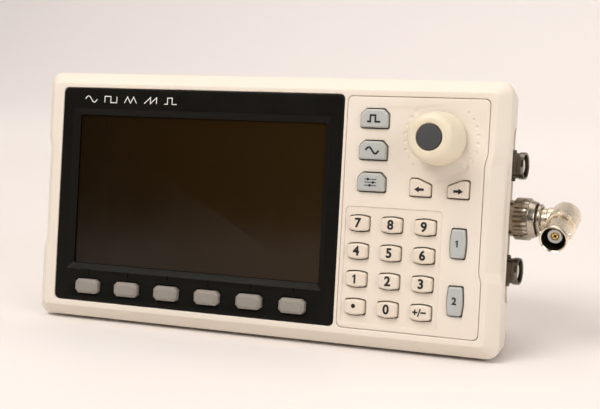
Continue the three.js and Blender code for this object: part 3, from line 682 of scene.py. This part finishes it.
def vent_cutters():
    """Upright slots through the back, with rounded lips."""
    slots = []
    for i in range(-VENTS_PER_SIDE, VENTS_PER_SIDE + 1):
        x = CASE_MIDDLE + VENT_PITCH * i
        lip = [(CASE_DEPTH - y, VENT_HALF + inset) for inset, y in reversed(quarter(VENT_LIP))]
        rings = [(CASE_DEPTH - 6, VENT_HALF), *lip, (CASE_DEPTH + 1, VENT_HALF + VENT_LIP)]
        slots.append(loft([(y, rectangle(x - half, x + half, VENT_Z[0] - half, VENT_Z[1] + half, half * 0.98))
                           for y, half in rings]))
    return slots


def rear_shell():
    start, edge = SEAM + GAP, 0.5
    profile = open_line([
        (REAR_SETBACK, start + edge, 0), (REAR_SETBACK, REAR_SHOULDER, 12.0),
        (REAR_TAPER, REAR_CORNER, 4.0), (REAR_TAPER + REAR_CHAMFER, CASE_DEPTH, 2.5),
        (REAR_TAPER + REAR_CHAMFER + 3, CASE_DEPTH, 0),
    ], 6)
    rings = [(start, rear_outline(REAR_SETBACK + edge, REAR_SETBACK + edge))]
    rings += [(p.y, rear_outline(p.x, rear_drop(min(p.y, CASE_DEPTH)))) for p in profile]
    outside = loft(rings)
    straight = rear_outline(REAR_SETBACK + WALL, REAR_SETBACK + WALL)
    inside = loft([
        (start - 2, straight),
        (REAR_SHOULDER, straight),
        (REAR_CORNER, rear_outline(REAR_TAPER + WALL, REAR_TOP_DROP + WALL)),
        (CASE_DEPTH - WALL, rear_outline(REAR_TAPER + WALL + 1, REAR_TOP_DROP + WALL + 1)),
    ])
    shell, cavity = [combine(combine(solid, side_pockets(margin)), below_base(margin))
                     for solid, margin in ((outside, 0), (inside, WALL))]
    shell = combine(shell, cavity)
    wall = (POCKET_FLOOR - 2 * WALL, POCKET_FLOOR + 1)
    left_wall = (LEFT_FLOOR - 1, LEFT_FLOOR + 2 * WALL)
    cutters = [at_side(along_x(rod(JACK_HOLE, *wall)), z) for z in JACK_HEIGHTS]
    cutters += [at_side(along_x(rod(SUPPLY_HOLE, *left_wall)), z) for z in (POWER_Z, SUPPLY_Z)]
    half_y, half_z = USB_HOLE
    usb = rectangle(-JACK_Y - half_y, -JACK_Y + half_y, USB_Z - half_z, USB_Z + half_z, 1.6)
    cutters.append(along_x(loft([(x, usb) for x in left_wall])))
    cutters += vent_cutters()
    radius, lip, out = SCREW_SEAT_RADIUS, 0.4, CASE_DEPTH + 2
    seat = [(0, SCREW_SEAT), (radius, SCREW_SEAT), (radius, CASE_DEPTH - lip)]
    seat += [(radius + lip, CASE_DEPTH + 0.01), (radius + lip, out), (0, out)]
    cutters += [move(spin(seat, 40), x, 0, z) for x, z in SCREWS]
    shell = combine(shell, merged(cutters))
    add_piece("rear_cover", shell, "case", "case", ["rear_shell"], "case_cream")


def case_screws():
    for i, (x, z) in enumerate(SCREWS):
        head = combine(spin(SCREW_HEAD, 40), cross(3.0, 2.2, 0.62, 1.7, 0.4 + i))
        add_piece(f"case_screw_{i + 1}", move(head, x, SCREW_SEAT, z), "steel", "case", slot="steel_plate")


def feet():
    width, length, thickness, edge = 9.0, 150.0, 1.1, 0.4
    for name, start in (("front_foot", 5.4), ("rear_foot", 36.0)):
        def outline_of(inset):
            low, high = -length / 2 + inset, length / 2 - inset
            return rectangle(low, high, start + inset, start + width - inset, 3 - inset)
        top = GAP / 3
        rings = [(top, outline_of(0))]
        rings += [(top + thickness - y, outline_of(inset)) for inset, y in reversed(quarter(edge))]
        strip = turn(turn(loft(rings), -math.pi / 2, "X"), LEAN, "X")
        add_piece(name + "_pad", move(strip, CASE_MIDDLE, CASE_CHAMFER, CASE_BOTTOM), "foot", "case",
                  [name], "foot_rubber")


# ---- display ----

KEY_GAP = 0.42
PLATE_GROWTH = 0.12  # the bezel and the key panel fill more of their openings than the gap leaves
WINDOW = (6.6, 103.5, 13.5, 67.3)
NOTCH_HALF, NOTCH_Z = 0.14, (9.3, 12.6)  # a fine line over each soft key
WINDOW_DEPTH = 1.5
WINDOW_SLOPE = 2.1


def window_outline(grow):
    left, right, bottom, top = WINDOW
    return rectangle(left - grow, right + grow, bottom - grow, top + grow, 0.8)


def soft_key_face(inset):
    w, h, cut = 4.75 - inset, 2.55 - inset, 1.2 - 0.4 * inset
    corners = [(-w + cut, -h), (w - cut, -h), (w, -h + cut), (w, h - cut)]
    corners += [(-x, -z) for x, z in corners]
    return fillet([(x, z, 0.35) for x, z in corners], 4)


def display_bezel(soft_keys):
    plate = rounded_plate(lambda inset: bezel_outline(inset - PLATE_GROWTH), 0.35, 0, BEZEL_THICKNESS)
    profile = open_line([
        (WINDOW_SLOPE + 0.6, -3, 0), (WINDOW_SLOPE + 0.3, 0, 0.3), (0.15, WINDOW_DEPTH, 0.15),
        (0, BEZEL_THICKNESS + 2, 0),
    ], 3)
    plate = combine(plate, loft([(p.y, window_outline(p.x)) for p in profile]))
    seat = loft([(y, window_outline(1.5)) for y in (WINDOW_DEPTH + GAP, BEZEL_THICKNESS + 1)])
    plate = combine(plate, seat)
    cutters = []
    for key in soft_keys:
        centre = panel_centre(key)
        cutters.append(hole(placed(soft_key_face, centre), 0.2, 6, KEY_GAP))
        notch = rectangle(centre.x - NOTCH_HALF, centre.x + NOTCH_HALF, *NOTCH_Z, 0.1, 2)
        cutters.append(loft([(-1, notch), (0.3, notch)]))
    plate = combine(plate, merged(cutters))
    add_piece("bezel_frame", plate, "bezel", "case", ["display_bezel"], "bezel_black")
    front, back = WINDOW_DEPTH + 2 * GAP, BEZEL_THICKNESS - 0.1
    glass = rounded_plate(lambda inset: window_outline(1.2 - inset), 0.2, front, back)
    add_piece("window_sheet", glass, "glass", "case", ["display_window"], "window_dark")


# ---- keys ----

PANEL_THICKNESS = 3.0
FLANGE = (PANEL_THICKNESS + GAP, PANEL_THICKNESS + GAP + 0.9)
FLANGE_PROUD = 0.7
BOW_POINTS = 7

# Each kind of key: how far it stands out, the width of its bevel and of its rounded edges, the crown of its
# face, where its mark lies, its material and its slot.
KeyStyle = namedtuple("KeyStyle", "rise bevel edge crown mark_y material slot")
SOFT = KeyStyle(2.0, 0.9, 0.25, 0.08, None, "soft_key", "key_grey")
FUNCTION = KeyStyle(1.5, 0.5, 0.3, 0.1, -1.59, "blue_key", "key_blue_grey")
ARROW = KeyStyle(1.3, 0.35, 0.25, 0.0, -1.31, "cream_key", "key_cream")
NUMBER = KeyStyle(1.4, 0.45, 0.25, 0.0, -1.41, "cream_key", "key_cream")
CHANNEL = KeyStyle(1.3, 0.4, 0.25, 0.12, -1.41, "blue_key", "key_blue_grey")


def placed(face, centre):
    """The face's outline, drawn round a key's centre."""
    spot = Vector((centre.x, centre.z))
    return lambda inset: [p + spot for p in face(inset)]


def function_key_face(inset):
    w, h, cut = 4.7 - inset, 3.0 - inset, 1.7 - 0.4 * inset
    return fillet([(-w, -h, 0.7), (w, -h, 0.7), (w, h - cut, 0.9), (w - cut, h, 0.9),
                   (-w + cut, h, 0.9), (-w, h - cut, 0.9)], 5)


def arc_points(half, edge, bow):
    """Interior points of a shallow bow, from -half to half, outside a straight edge."""
    shares = [2 * (k + 1) / (BOW_POINTS + 1) - 1 for k in range(BOW_POINTS)]
    return [(half * s, edge + bow * (1 - s * s)) for s in shares]


def number_key_face(inset):
    w, h, bow = 3.4 - inset, 2.15 - inset, 0.4
    top = [(x, z, 0) for x, z in reversed(arc_points(w - 0.9, h, bow))]
    bottom = [(-x, -z, 0) for x, z, _ in top]
    return fillet([(-w, -h, 0.8), *bottom, (w, -h, 0.8), (w, h, 0.8), *top, (-w, h, 0.8)], 5)


def channel_key_face(inset):
    w, h, bow = 2.1 - inset, 4.6 - inset, 0.4
    right = [(x, z, 0) for z, x in arc_points(h - 0.7, w, bow)]
    left = [(-x, -z, 0) for x, z, _ in right]
    return fillet([(-w, -h, 0.6), (w, -h, 0.6), *right, (w, h, 0.6), (-w, h, 0.6), *left], 5)


def arrow_key_face(side):
    def face(inset):
        w, tall, low, knee = 3.4 - inset, 2.75 - inset, 0.9 - 0.7 * inset, -3.4 / 3
        corners = [(-w, -tall, 0.6), (w, -tall, 0.6), (w, low, 0.7), (knee, tall, 1.2), (-w, tall, 0.8)]
        if side > 0:
            corners = [(-x, z, r) for x, z, r in reversed(corners)]
        return fillet(corners, 5)
    return face


def key_cap(node, face, style):
    """Makes a key and returns its centre, for its mark."""
    centre = panel_centre(node)
    outline_of = placed(face, centre)
    rise, bevel, edge = style.rise, style.bevel, style.edge
    profile = open_line([
        (bevel + edge, -rise, 0), (bevel, -rise, edge), (0, -rise + bevel, edge), (0, FLANGE[0], 0),
        (-FLANGE_PROUD, FLANGE[0], 0), (-FLANGE_PROUD, FLANGE[1], 0),
    ], 4)
    middle = Vector((centre.x, centre.z))
    cap = loft([(p.y, outline_of(p.x)) for p in profile], cap_rings=4, crown=style.crown, centre=middle)
    add_piece(node + "_cap", cap, style.material, node, [node], style.slot)
    return centre


INK_LIFT = 0.03
BOLDNESS = 0.035


def add_text(name, text, size, centre, y, body):
    data = bpy.data.curves.new(name, "FONT")
    data.body = text
    data.size = size
    data.align_x, data.align_y = "CENTER", "CENTER"
    data.offset = BOLDNESS * size
    data.extrude = INK_LIFT
    data.resolution_u = 4
    holder = put(name, data)
    bpy.context.view_layer.update()
    held = bpy.data.meshes.new_from_object(holder)
    bpy.data.objects.remove(holder)
    glyph = bmesh.new()
    glyph.from_mesh(held)
    bpy.data.meshes.remove(held)
    bmesh.ops.remove_doubles(glyph, verts=glyph.verts, dist=0.0005)
    turn(glyph, math.pi / 2, "X")
    move(glyph, centre[0], y, centre[1])
    add_piece(name, glyph, "ink", body)


def ribbon(points, width):
    """The outline of a line of constant width through the points, with mitred corners."""
    left, right = [], []
    for i, p in enumerate(points):
        before = (p - points[i - 1]).normalized() if i else None
        after = (points[i + 1] - p).normalized() if i + 1 < len(points) else None
        ahead = ((before or after) + (after or before)).normalized()
        normal = Vector((-ahead.y, ahead.x))
        straight = after or before
        reach = width / 2 / max(normal.dot(Vector((-straight.y, straight.x))), 0.4)
        left.append(p + normal * reach)
        right.append(p - normal * reach)
    return right + left[::-1]


def add_symbol(name, outlines, centre, y, body, material="ink"):
    spot = Vector(centre)
    plates = [loft([(y + lift, [p + spot for p in points]) for lift in (-INK_LIFT, INK_LIFT)])
              for points in outlines]
    add_piece(name, merged(plates), material, body)


def add_digit(name, text, size, centre, y, body):
    """A digit or sign. A 1 is drawn with a flag, because the built-in letters have a plain bar."""
    if text == "1":
        stem = [(-0.08, -0.35), (0.07, -0.35), (0.07, 0.35), (-0.06, 0.35)]
        points = [*stem, (-0.23, 0.2), (-0.17, 0.12), (-0.08, 0.19)]
        add_symbol(name, [[Vector(p) * size for p in points]], centre, y, body)
    else:
        add_text(name, text, size, centre, y, body)


def wave_line(kind, width, height):
    w, h = width / 2, height / 2
    if kind == "sine":
        turns = [k / 24 for k in range(25)]
        return [Vector((width * (t - 0.5), h * math.sin(math.tau * t))) for t in turns]
    corners = {
        "pulse": [(-w, -h), (-w / 2, -h), (-w / 2, h), (w / 4, h), (w / 4, -h), (w, -h)],
        "square": [(-w, -h), (-w, h), (0, h), (0, -h), (w, -h), (w, h)],
        "triangle": [(-w, -h), (-w / 2, h), (0, -h), (w / 2, h), (w, -h)],
        "ramp": [(-w, -h), (0, h), (0, -h), (w, h), (w, -h)],
    }
    return [Vector(c) for c in corners[kind]]


def arrow_outline(side):
    tail, neck, tip, half_shaft, half_head = 1.5, -0.15, -1.75, 0.42, 1.0
    upper = [(tail, half_shaft), (neck, half_shaft), (neck, half_head), (tip, 0)]
    points = [(tail, -half_shaft), *upper, (neck, -half_head), (neck, -half_shaft)]
    if side > 0:
        points = [(-x, z) for x, z in reversed(points)]
    return [Vector(p) for p in points]


def slider_outlines():
    """Three bars with a knob on each: a plain sign for settings."""
    half, width, radius, sides = 2.1, 0.26, 0.45, 12
    angles = [math.tau * k / sides for k in range(sides)]
    parts = []
    for z, knob in ((1.0, -0.9), (0.0, 0.9), (-1.0, -0.2)):
        parts.append(ribbon([Vector((-half, z)), Vector((half, z))], width))
        parts.append([Vector((knob + radius * math.cos(a), z + radius * math.sin(a))) for a in angles])
    return parts


def soft_keys():
    names = [f"soft_key_{i}" for i in range(1, 7)]
    for name in names:
        key_cap(name, soft_key_face, SOFT)
    return names


def panel_keys():
    """Every key of the key panel. Returns each node with its face, for the holes."""
    faces = {}
    for name, mark in (("pulse_key", "pulse"), ("wave_key", "sine"), ("setup_key", None)):
        faces[name] = function_key_face
        centre = key_cap(name, function_key_face, FUNCTION)
        outlines = [ribbon(wave_line(mark, 4.6, 2.1), 0.62)] if mark else slider_outlines()
        add_symbol(name + "_mark", outlines, (centre.x, centre.z - 0.1), FUNCTION.mark_y, name)
    for side, name in ((-1, "left_arrow_key"), (1, "right_arrow_key")):
        faces[name] = arrow_key_face(side)
        centre = key_cap(name, faces[name], ARROW)
        spot = (centre.x + 0.1 * side, centre.z - 0.6)
        add_symbol(name + "_mark", [arrow_outline(side)], spot, ARROW.mark_y, name)
    signs = {"point": "·", "sign": "+/−"}
    for label in [*"0123456789", "point", "sign"]:
        name = f"number_key_{label}"
        faces[name] = number_key_face
        centre = key_cap(name, number_key_face, NUMBER)
        size = {"point": 7.5, "sign": 3.3}.get(label, 4.3)
        text, spot = signs.get(label, label), (centre.x - 0.1, centre.z)
        add_digit(name + "_mark", text, size, spot, NUMBER.mark_y, name)
    for i in (1, 2):
        name = f"channel_key_{i}"
        faces[name] = channel_key_face
        centre = key_cap(name, channel_key_face, CHANNEL)
        add_digit(name + "_mark", str(i), 3.2, (centre.x, centre.z), CHANNEL.mark_y, name)
    return faces


# ---- key panel ----

KEYPAD_RECESS = (112.9, 146.2, 1.6, 40.2)
DIMPLE_RING = 12.3
DIMPLES_PER_SIDE = 8
DIMPLE_ANGLES = (45, 134)
DIMPLE_RADII = (0.5, 1.0)
DIMPLE_DEPTH = 0.32
SHAFT_HOLE = 3.8


def dimple(x, z, radius):
    bowl = (radius * radius + DIMPLE_DEPTH * DIMPLE_DEPTH) / (2 * DIMPLE_DEPTH)
    ball = bmesh.new()
    bmesh.ops.create_uvsphere(ball, u_segments=28, v_segments=20, radius=bowl)
    return move(ball, x, DIMPLE_DEPTH - bowl, z)


def dimples(centre):
    balls = []
    first, last = DIMPLE_ANGLES
    small, large = DIMPLE_RADII
    for i in range(DIMPLES_PER_SIDE):
        share = i / (DIMPLES_PER_SIDE - 1)
        angle = math.radians(first + (last - first) * share)
        growing = small + (large - small) * share
        for side, radius in ((1, growing), (-1, small + large - growing)):
            x = centre.x + side * DIMPLE_RING * math.sin(angle)
            balls.append(dimple(x, centre.z + DIMPLE_RING * math.cos(angle), radius))
    return balls


def keypad_outline(grow, radius):
    left, right, bottom, top = KEYPAD_RECESS
    return rectangle(left - grow, right + grow, bottom - grow, top + grow, radius)


def key_panel(faces):
    plate = rounded_plate(lambda inset: panel_outline(inset - PLATE_GROWTH), 0.25, 0, PANEL_THICKNESS)
    depth = 0.4
    recess = loft([
        (-1, keypad_outline(0.15, 1.4)), (0, keypad_outline(0.15, 1.4)),
        (depth - 0.1, keypad_outline(0, 1.3)), (depth, keypad_outline(-0.12, 1.2)),
    ])
    plate = combine(plate, recess)
    centre = panel_centre("knob")
    cutters = [hole(placed(face, panel_centre(node)), 0.15, 6, KEY_GAP) for node, face in faces.items()]
    cutters.append(move(rod(SHAFT_HOLE, -3, 5), centre.x, 0, centre.z))
    plate = combine(plate, merged(cutters))
    plate = combine(plate, merged(dimples(centre)))
    add_piece("key_panel_plate", plate, "panel", "case", ["key_panel"], "case_cream")


# ---- knob ----

KNOB_FRONT, KNOB_BACK = -13.2, -0.9
KNOB_BASE, KNOB_NOSE = 8.8, 7.5
CAP_RADIUS, CAP_RECESS = 4.05, 4.35


def knob():
    centre = panel_centre("knob")
    bore = 3.3
    outside = open_line([
        (CAP_RECESS, KNOB_FRONT + 0.35, 0), (CAP_RECESS + 0.3, KNOB_FRONT, 0.3),
        (KNOB_NOSE, KNOB_FRONT, 2.4), (KNOB_BASE - 0.25, KNOB_FRONT + 7.5, 5),
        (KNOB_BASE, KNOB_BACK, 0.4), (bore, KNOB_BACK, 0),
    ], 8)
    recess, bore_end = KNOB_FRONT + 1.5, KNOB_FRONT + 3.7
    body = spin([(0, recess), (CAP_RECESS, recess), *outside, (bore, bore_end), (0, bore_end)], 96)
    add_piece("knob_body", move(body, centre.x, 0, centre.z), "knob", "knob", ["knob"], "knob_ivory")
    front, back = KNOB_FRONT + 0.1, KNOB_FRONT + 1.2
    cap = [(0, front), *[(CAP_RADIUS - inset, front + y) for inset, y in quarter(0.3)]]
    cap += [(CAP_RADIUS, back), (0, back)]
    add_piece("knob_disc", move(spin(cap, 72), centre.x, 0, centre.z), "knob_cap", "knob", ["knob_cap"],
              "knob_grey")


# ---- coaxial jacks and adapter ----

JACK_LENGTH = 11.0
JACK_MOUTH = POCKET_FLOOR + JACK_LENGTH
JACK_RADIUS = 4.6
JACK_NECK = JACK_RADIUS - 0.25
JACK_BORE = 3.95
THREAD_RADIUS, FLANGE_RADIUS = 4.7, 6.6
LUG_REACH, LUG_RADIUS, LUG_SETBACK = 5.3, 1.0, 4.4
INSULATOR = 2.45
CONTACT = 1.1
DROOP = math.radians(22.5)
ELBOW_X, ELBOW_REACH, ELBOW_BACK, ELBOW_RADIUS = 179.3, 15.4, 5.2, 5.1
INSULATOR_SEAT, SOCKET_BACK = 3.0, 6.6


def lug_pin():
    end = 0.25
    half = [(0, -LUG_REACH), (LUG_RADIUS - end, -LUG_REACH), (LUG_RADIUS, -LUG_REACH + end)]
    return spin([*half, *[(radius, -y) for radius, y in reversed(half)]], 24)


def socket_mouth(end, floor):
    """A barrel's bore as a cutter: straight, with a bevelled lip at its mouth."""
    return spin([(0, floor), (JACK_BORE, floor), (JACK_BORE, end - 0.3), (JACK_BORE + 0.35, end + 0.01),
                 (JACK_BORE + 0.35, end + 2), (0, end + 2)], 64)


def barrel_profile(start, end):
    """The outside of a jack's barrel: a wider rim with a rounded mouth."""
    return [
        (JACK_NECK, start), (JACK_NECK, end - 2.2), (JACK_RADIUS, end - 2.0), (JACK_RADIUS, end - 0.25),
        (JACK_RADIUS - 0.08, end - 0.08), (JACK_NECK, end), (0, end),
    ]


def jack(number, z):
    thread_start, seat, flange = POCKET_FLOOR - WALL - 5, POCKET_FLOOR + GAP, POCKET_FLOOR + 1.8
    body = spin([
        (0, thread_start), (THREAD_RADIUS, thread_start), (THREAD_RADIUS, seat),
        (FLANGE_RADIUS - 0.2, seat), (FLANGE_RADIUS, seat + 0.2), (FLANGE_RADIUS, flange - 0.35),
        (FLANGE_RADIUS - 0.35, flange), (5.2, flange), (JACK_NECK, flange + 0.4),
        *barrel_profile(flange + 0.4, JACK_MOUTH)[1:],
    ], 72)
    lugs = move(turn(lug_pin(), math.pi / 2, "X"), x=JACK_MOUTH - LUG_SETBACK)
    body = combine(along_x(body), lugs, "UNION")
    floor = POCKET_FLOOR - 1
    body = combine(body, along_x(socket_mouth(JACK_MOUTH, floor)))
    body = combine(body, along_x(rod(INSULATOR + GAP, thread_start - 1, floor + 1)))
    mark_bore(body, JACK_BORE)
    add_piece(f"jack_{number}_barrel", at_side(body, z), "barrel", "case", [f"jack_{number}_shell"],
              "nickel_plate", inside="bore")
    mouth = JACK_MOUTH - 1
    sleeve = tube(INSULATOR, CONTACT + GAP, thread_start, mouth, 0.15)
    add_piece(f"jack_{number}_sleeve", at_side(along_x(sleeve), z), "ptfe", "case",
              [f"jack_{number}_insulator"], "white_insulator")
    pin = tube(CONTACT, 0.8, thread_start - 3, mouth - 0.4, 0.1)
    add_piece(f"jack_{number}_pin", at_side(along_x(pin), z), "gold", "case",
              [f"jack_{number}_contact"], "gold_plate")


def tube(outer, inner, start, end, edge):
    profile = [(inner, start), (outer, start), (outer, end - edge), (outer - edge, end),
               (inner + edge / 2, end), (inner, end - edge / 2)]
    return spin(profile, 48, closed=True)


NUT_RADIUS, NUT_RIM, NUT_BORE = 7.1, 6.1, 5.6
NUT_START, KNURL_START, KNURL_END, NUT_END = 159.6, 163.4, 168.6, 170.9
KNURLS = 28
STEM = 4.0
CARRIER_RADIUS = 5.3
CARRIER_NECK = CARRIER_RADIUS - 0.6
CARRIER_START, CARRIER_END = NUT_END - 1.6, NUT_END + 1.5


def at_middle_jack(mesh):
    return at_side(mesh, JACK_HEIGHTS[1])


def knurl_outline(inset):
    """Flat ridges with narrow round-bottomed grooves between them."""
    groove_depth, per_ridge = 0.5, 12
    points = []
    for i in range(KNURLS * per_ridge):
        angle = math.tau * i / (KNURLS * per_ridge)
        phase = abs((i % per_ridge) / per_ridge - 0.5) * 2
        depth = groove_depth * max(0.0, 1 - phase / 0.42) ** 0.6
        radius = NUT_RADIUS - inset - depth
        points.append(Vector((radius * math.cos(angle), radius * math.sin(angle))))
    return points


def adapter_nut():
    edge = 0.45
    bevel = [(0, knurl_outline(edge)), (edge * 0.4, knurl_outline(edge * 0.25)), (edge, knurl_outline(0))]
    rings = [(KNURL_START + x, outline) for x, outline in bevel]
    rings += [(KNURL_END - x, outline) for x, outline in reversed(bevel)]
    band = along_x(loft(rings))
    core = open_line([
        (NUT_BORE - 1, NUT_START, 0), (NUT_RIM, NUT_START, 0.3), (NUT_RIM, KNURL_START - 0.5, 0.2),
        (NUT_RADIUS - 0.55, KNURL_START + 0.2, 0), (NUT_RADIUS - 0.55, KNURL_END + 0.1, 0.4),
        (CARRIER_RADIUS + 0.6, NUT_END - 0.3, 0.5), (CARRIER_RADIUS + 0.1, NUT_END, 0.2),
        (NUT_BORE - 1, NUT_END, 0),
    ], 4)
    body = along_x(spin([(0, NUT_START), *core, (0, NUT_END)], 72))
    body = combine(body, band, "UNION")
    shoulder = CARRIER_NECK + GAP
    bore = spin([(0, NUT_START - 1), (NUT_BORE, NUT_START - 1), (NUT_BORE, CARRIER_START - GAP),
                 (shoulder, CARRIER_START - GAP), (shoulder, NUT_END + 1), (0, NUT_END + 1)], 64)
    body = combine(body, along_x(bore))
    mark_bore(body, NUT_BORE)
    add_piece("coupling_nut", at_middle_jack(body), "nut", "adapter_nut", ["adapter_nut"], "nickel_plate",
              inside="bore")
    ring = fillet([
        (STEM + GAP, CARRIER_START, 0), (CARRIER_NECK, CARRIER_START, 0),
        (CARRIER_NECK, NUT_END + GAP, 0), (CARRIER_RADIUS, NUT_END + GAP, 0.2),
        (CARRIER_RADIUS, CARRIER_END, 0.35), (STEM + GAP, CARRIER_END, 0.1),
    ], 4)
    add_piece("carrier_ring", at_middle_jack(along_x(spin(ring, 64, closed=True))), "nut", "adapter_carrier",
              ["adapter_carrier"], "nickel_plate")


def along_mouth(mesh):
    return move(turn(mesh, math.pi + DROOP, "X"), x=ELBOW_X)


def adapter_elbow():
    sleeve_start, sleeve_radius, sleeve_bore, pin_bore = JACK_MOUTH - 5, 3.7, 2.9, 0.8
    stem = open_line([
        (0, sleeve_start, 0), (sleeve_radius, sleeve_start, 0.2), (sleeve_radius, JACK_MOUTH + 0.8, 0),
        (STEM, JACK_MOUTH + 0.8, 0.1), (STEM, 174.2, 0.1), (STEM + 0.35, 174.5, 0.15),
        (STEM + 0.35, ELBOW_X, 0), (0, ELBOW_X, 0),
    ], 4)
    body = along_x(spin(stem, 64))
    groove = JACK_NECK - 0.4
    housing = open_line([
        (0, -ELBOW_BACK, 0), (ELBOW_RADIUS, -ELBOW_BACK, 0.9), (ELBOW_RADIUS, 4.55, 0.15),
        (groove, 4.6, 0), (groove, 4.95, 0), (ELBOW_RADIUS, 5.0, 0.1), (ELBOW_RADIUS, 5.45, 0.1),
        (groove, 5.5, 0), (groove, 5.8, 0), (JACK_NECK, 5.85, 0.05), (JACK_NECK, SOCKET_BACK, 0),
    ], 5)
    front = barrel_profile(SOCKET_BACK, ELBOW_REACH)[1:]
    body = combine(body, along_mouth(spin([*housing, *front], 72)), "UNION")
    lugs = move(turn(lug_pin(), math.pi / 2, "Z"), y=ELBOW_REACH - LUG_SETBACK)
    body = combine(body, along_mouth(lugs), "UNION")
    body = combine(body, along_mouth(socket_mouth(ELBOW_REACH, SOCKET_BACK)))
    body = combine(body, along_mouth(rod(INSULATOR + GAP, INSULATOR_SEAT, SOCKET_BACK + 1)))
    body = combine(body, along_x(rod(sleeve_bore, sleeve_start - 1, JACK_MOUTH + 3)))
    body = combine(body, along_x(rod(pin_bore, JACK_MOUTH, ELBOW_X - 3, 24)))
    ahead = Vector((0, -math.cos(DROOP), -math.sin(DROOP)))
    mark_bore(body, JACK_BORE, Vector((ELBOW_X, 0, 0)) + (SOCKET_BACK - 0.1) * ahead, ahead)
    add_piece("elbow_body", at_middle_jack(body), "elbow", "adapter_elbow", ["adapter_elbow"], "nickel_plate",
              inside="bore")
    mouth, back = ELBOW_REACH - 2.8, INSULATOR_SEAT + GAP
    sleeve = tube(INSULATOR, CONTACT + GAP, back, mouth, 0.15)
    add_piece("elbow_sleeve", at_middle_jack(along_mouth(sleeve)), "ptfe", "adapter_elbow",
              ["adapter_insulator"], "white_insulator")
    contact = spin([(0, back), (CONTACT, back), (CONTACT, mouth - 0.4), (CONTACT - 0.1, mouth - 0.3),
                    (0.5, mouth - 0.3), (0.5, SOCKET_BACK), (0, SOCKET_BACK)], 40)
    contact = combine(contact, cross(4, 3, 0.3, mouth - 0.5, 0.5))
    add_piece("elbow_contact", at_middle_jack(along_mouth(contact)), "gold", "adapter_elbow",
              ["adapter_contact"], "gold_plate")


# ---- supply fittings in the left pocket ----


def power_button():
    face, radius = LEFT_FLOOR - 2, 4.0
    flange, flange_radius = LEFT_FLOOR + WALL + GAP, 5.0
    profile = open_line([
        (0, face + 0.25, 0), (2.6, face, 3), (radius, face, 0.5), (radius, flange, 0),
        (flange_radius, flange, 0), (flange_radius, flange + 1.1, 0), (0, flange + 1.1, 0),
    ], 5)
    body = along_x(spin(profile, 64))
    add_piece("power_button_cap", at_side(body, POWER_Z), "soft_key", "power_button", ["power_button"],
              "key_grey")


def supply_jack():
    face, end = LEFT_FLOOR - 0.4, LEFT_FLOOR + 11
    outer, bore, pin, edge = 4.0, 2.9, 1.05, 0.3
    profile = open_line([
        (pin, end - 2, 0), (pin, face + 0.6, 0.3), (0.7, face + 0.4, 0), (0, face + 0.4, 0),
    ], 3)
    outside = [(0, end), (outer, end), (outer, face + edge), (outer - edge, face)]
    outside += [(bore + 0.25, face), (bore, face + edge), (bore, end - 2)]
    body = along_x(spin([*outside, *profile], 64))
    add_piece("supply_socket", at_side(body, SUPPLY_Z), "socket", "case", ["supply_jack"], "bezel_black")


def finish_inner_nodes():
    """The pieces that keep their CAD shape get their finish."""
    finishes = {
        "lcd_module": "steel", "encoder_housing": "steel", "encoder_shaft": "steel", "usb_port": "steel",
        "encoder_plunger": "ptfe", "keypad_mat": "mat", "soft_key_mat": "mat", "key_board": "board",
        "main_board": "board", "adapter_pin": "gold",
    }
    for node, finish in finishes.items():
        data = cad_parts[node].data
        data.materials.clear()
        data.materials.append(MATERIALS[finish])


def header_symbols():
    """A row of plain wave symbols on the bezel's header strip."""
    start, pitch, height = 11.5, 8.2, 73.1
    for i, kind in enumerate(("sine", "square", "triangle", "ramp", "pulse")):
        line = ribbon(wave_line(kind, 5.0, 2.2), 0.3)
        add_symbol(f"header_{kind}", [line], (start + pitch * i, height), -0.01, "case", "white_ink")


# ---- everything ----


def build():
    make_camera()
    make_floor()
    make_studio()
    front_shell()
    rear_shell()
    case_screws()
    feet()
    display_bezel(soft_keys())
    key_panel(panel_keys())
    knob()
    for number, z in enumerate(JACK_HEIGHTS, 1):
        jack(number, z)
    adapter_nut()
    adapter_elbow()
    power_button()
    supply_jack()
    finish_inner_nodes()
    header_symbols()


build()
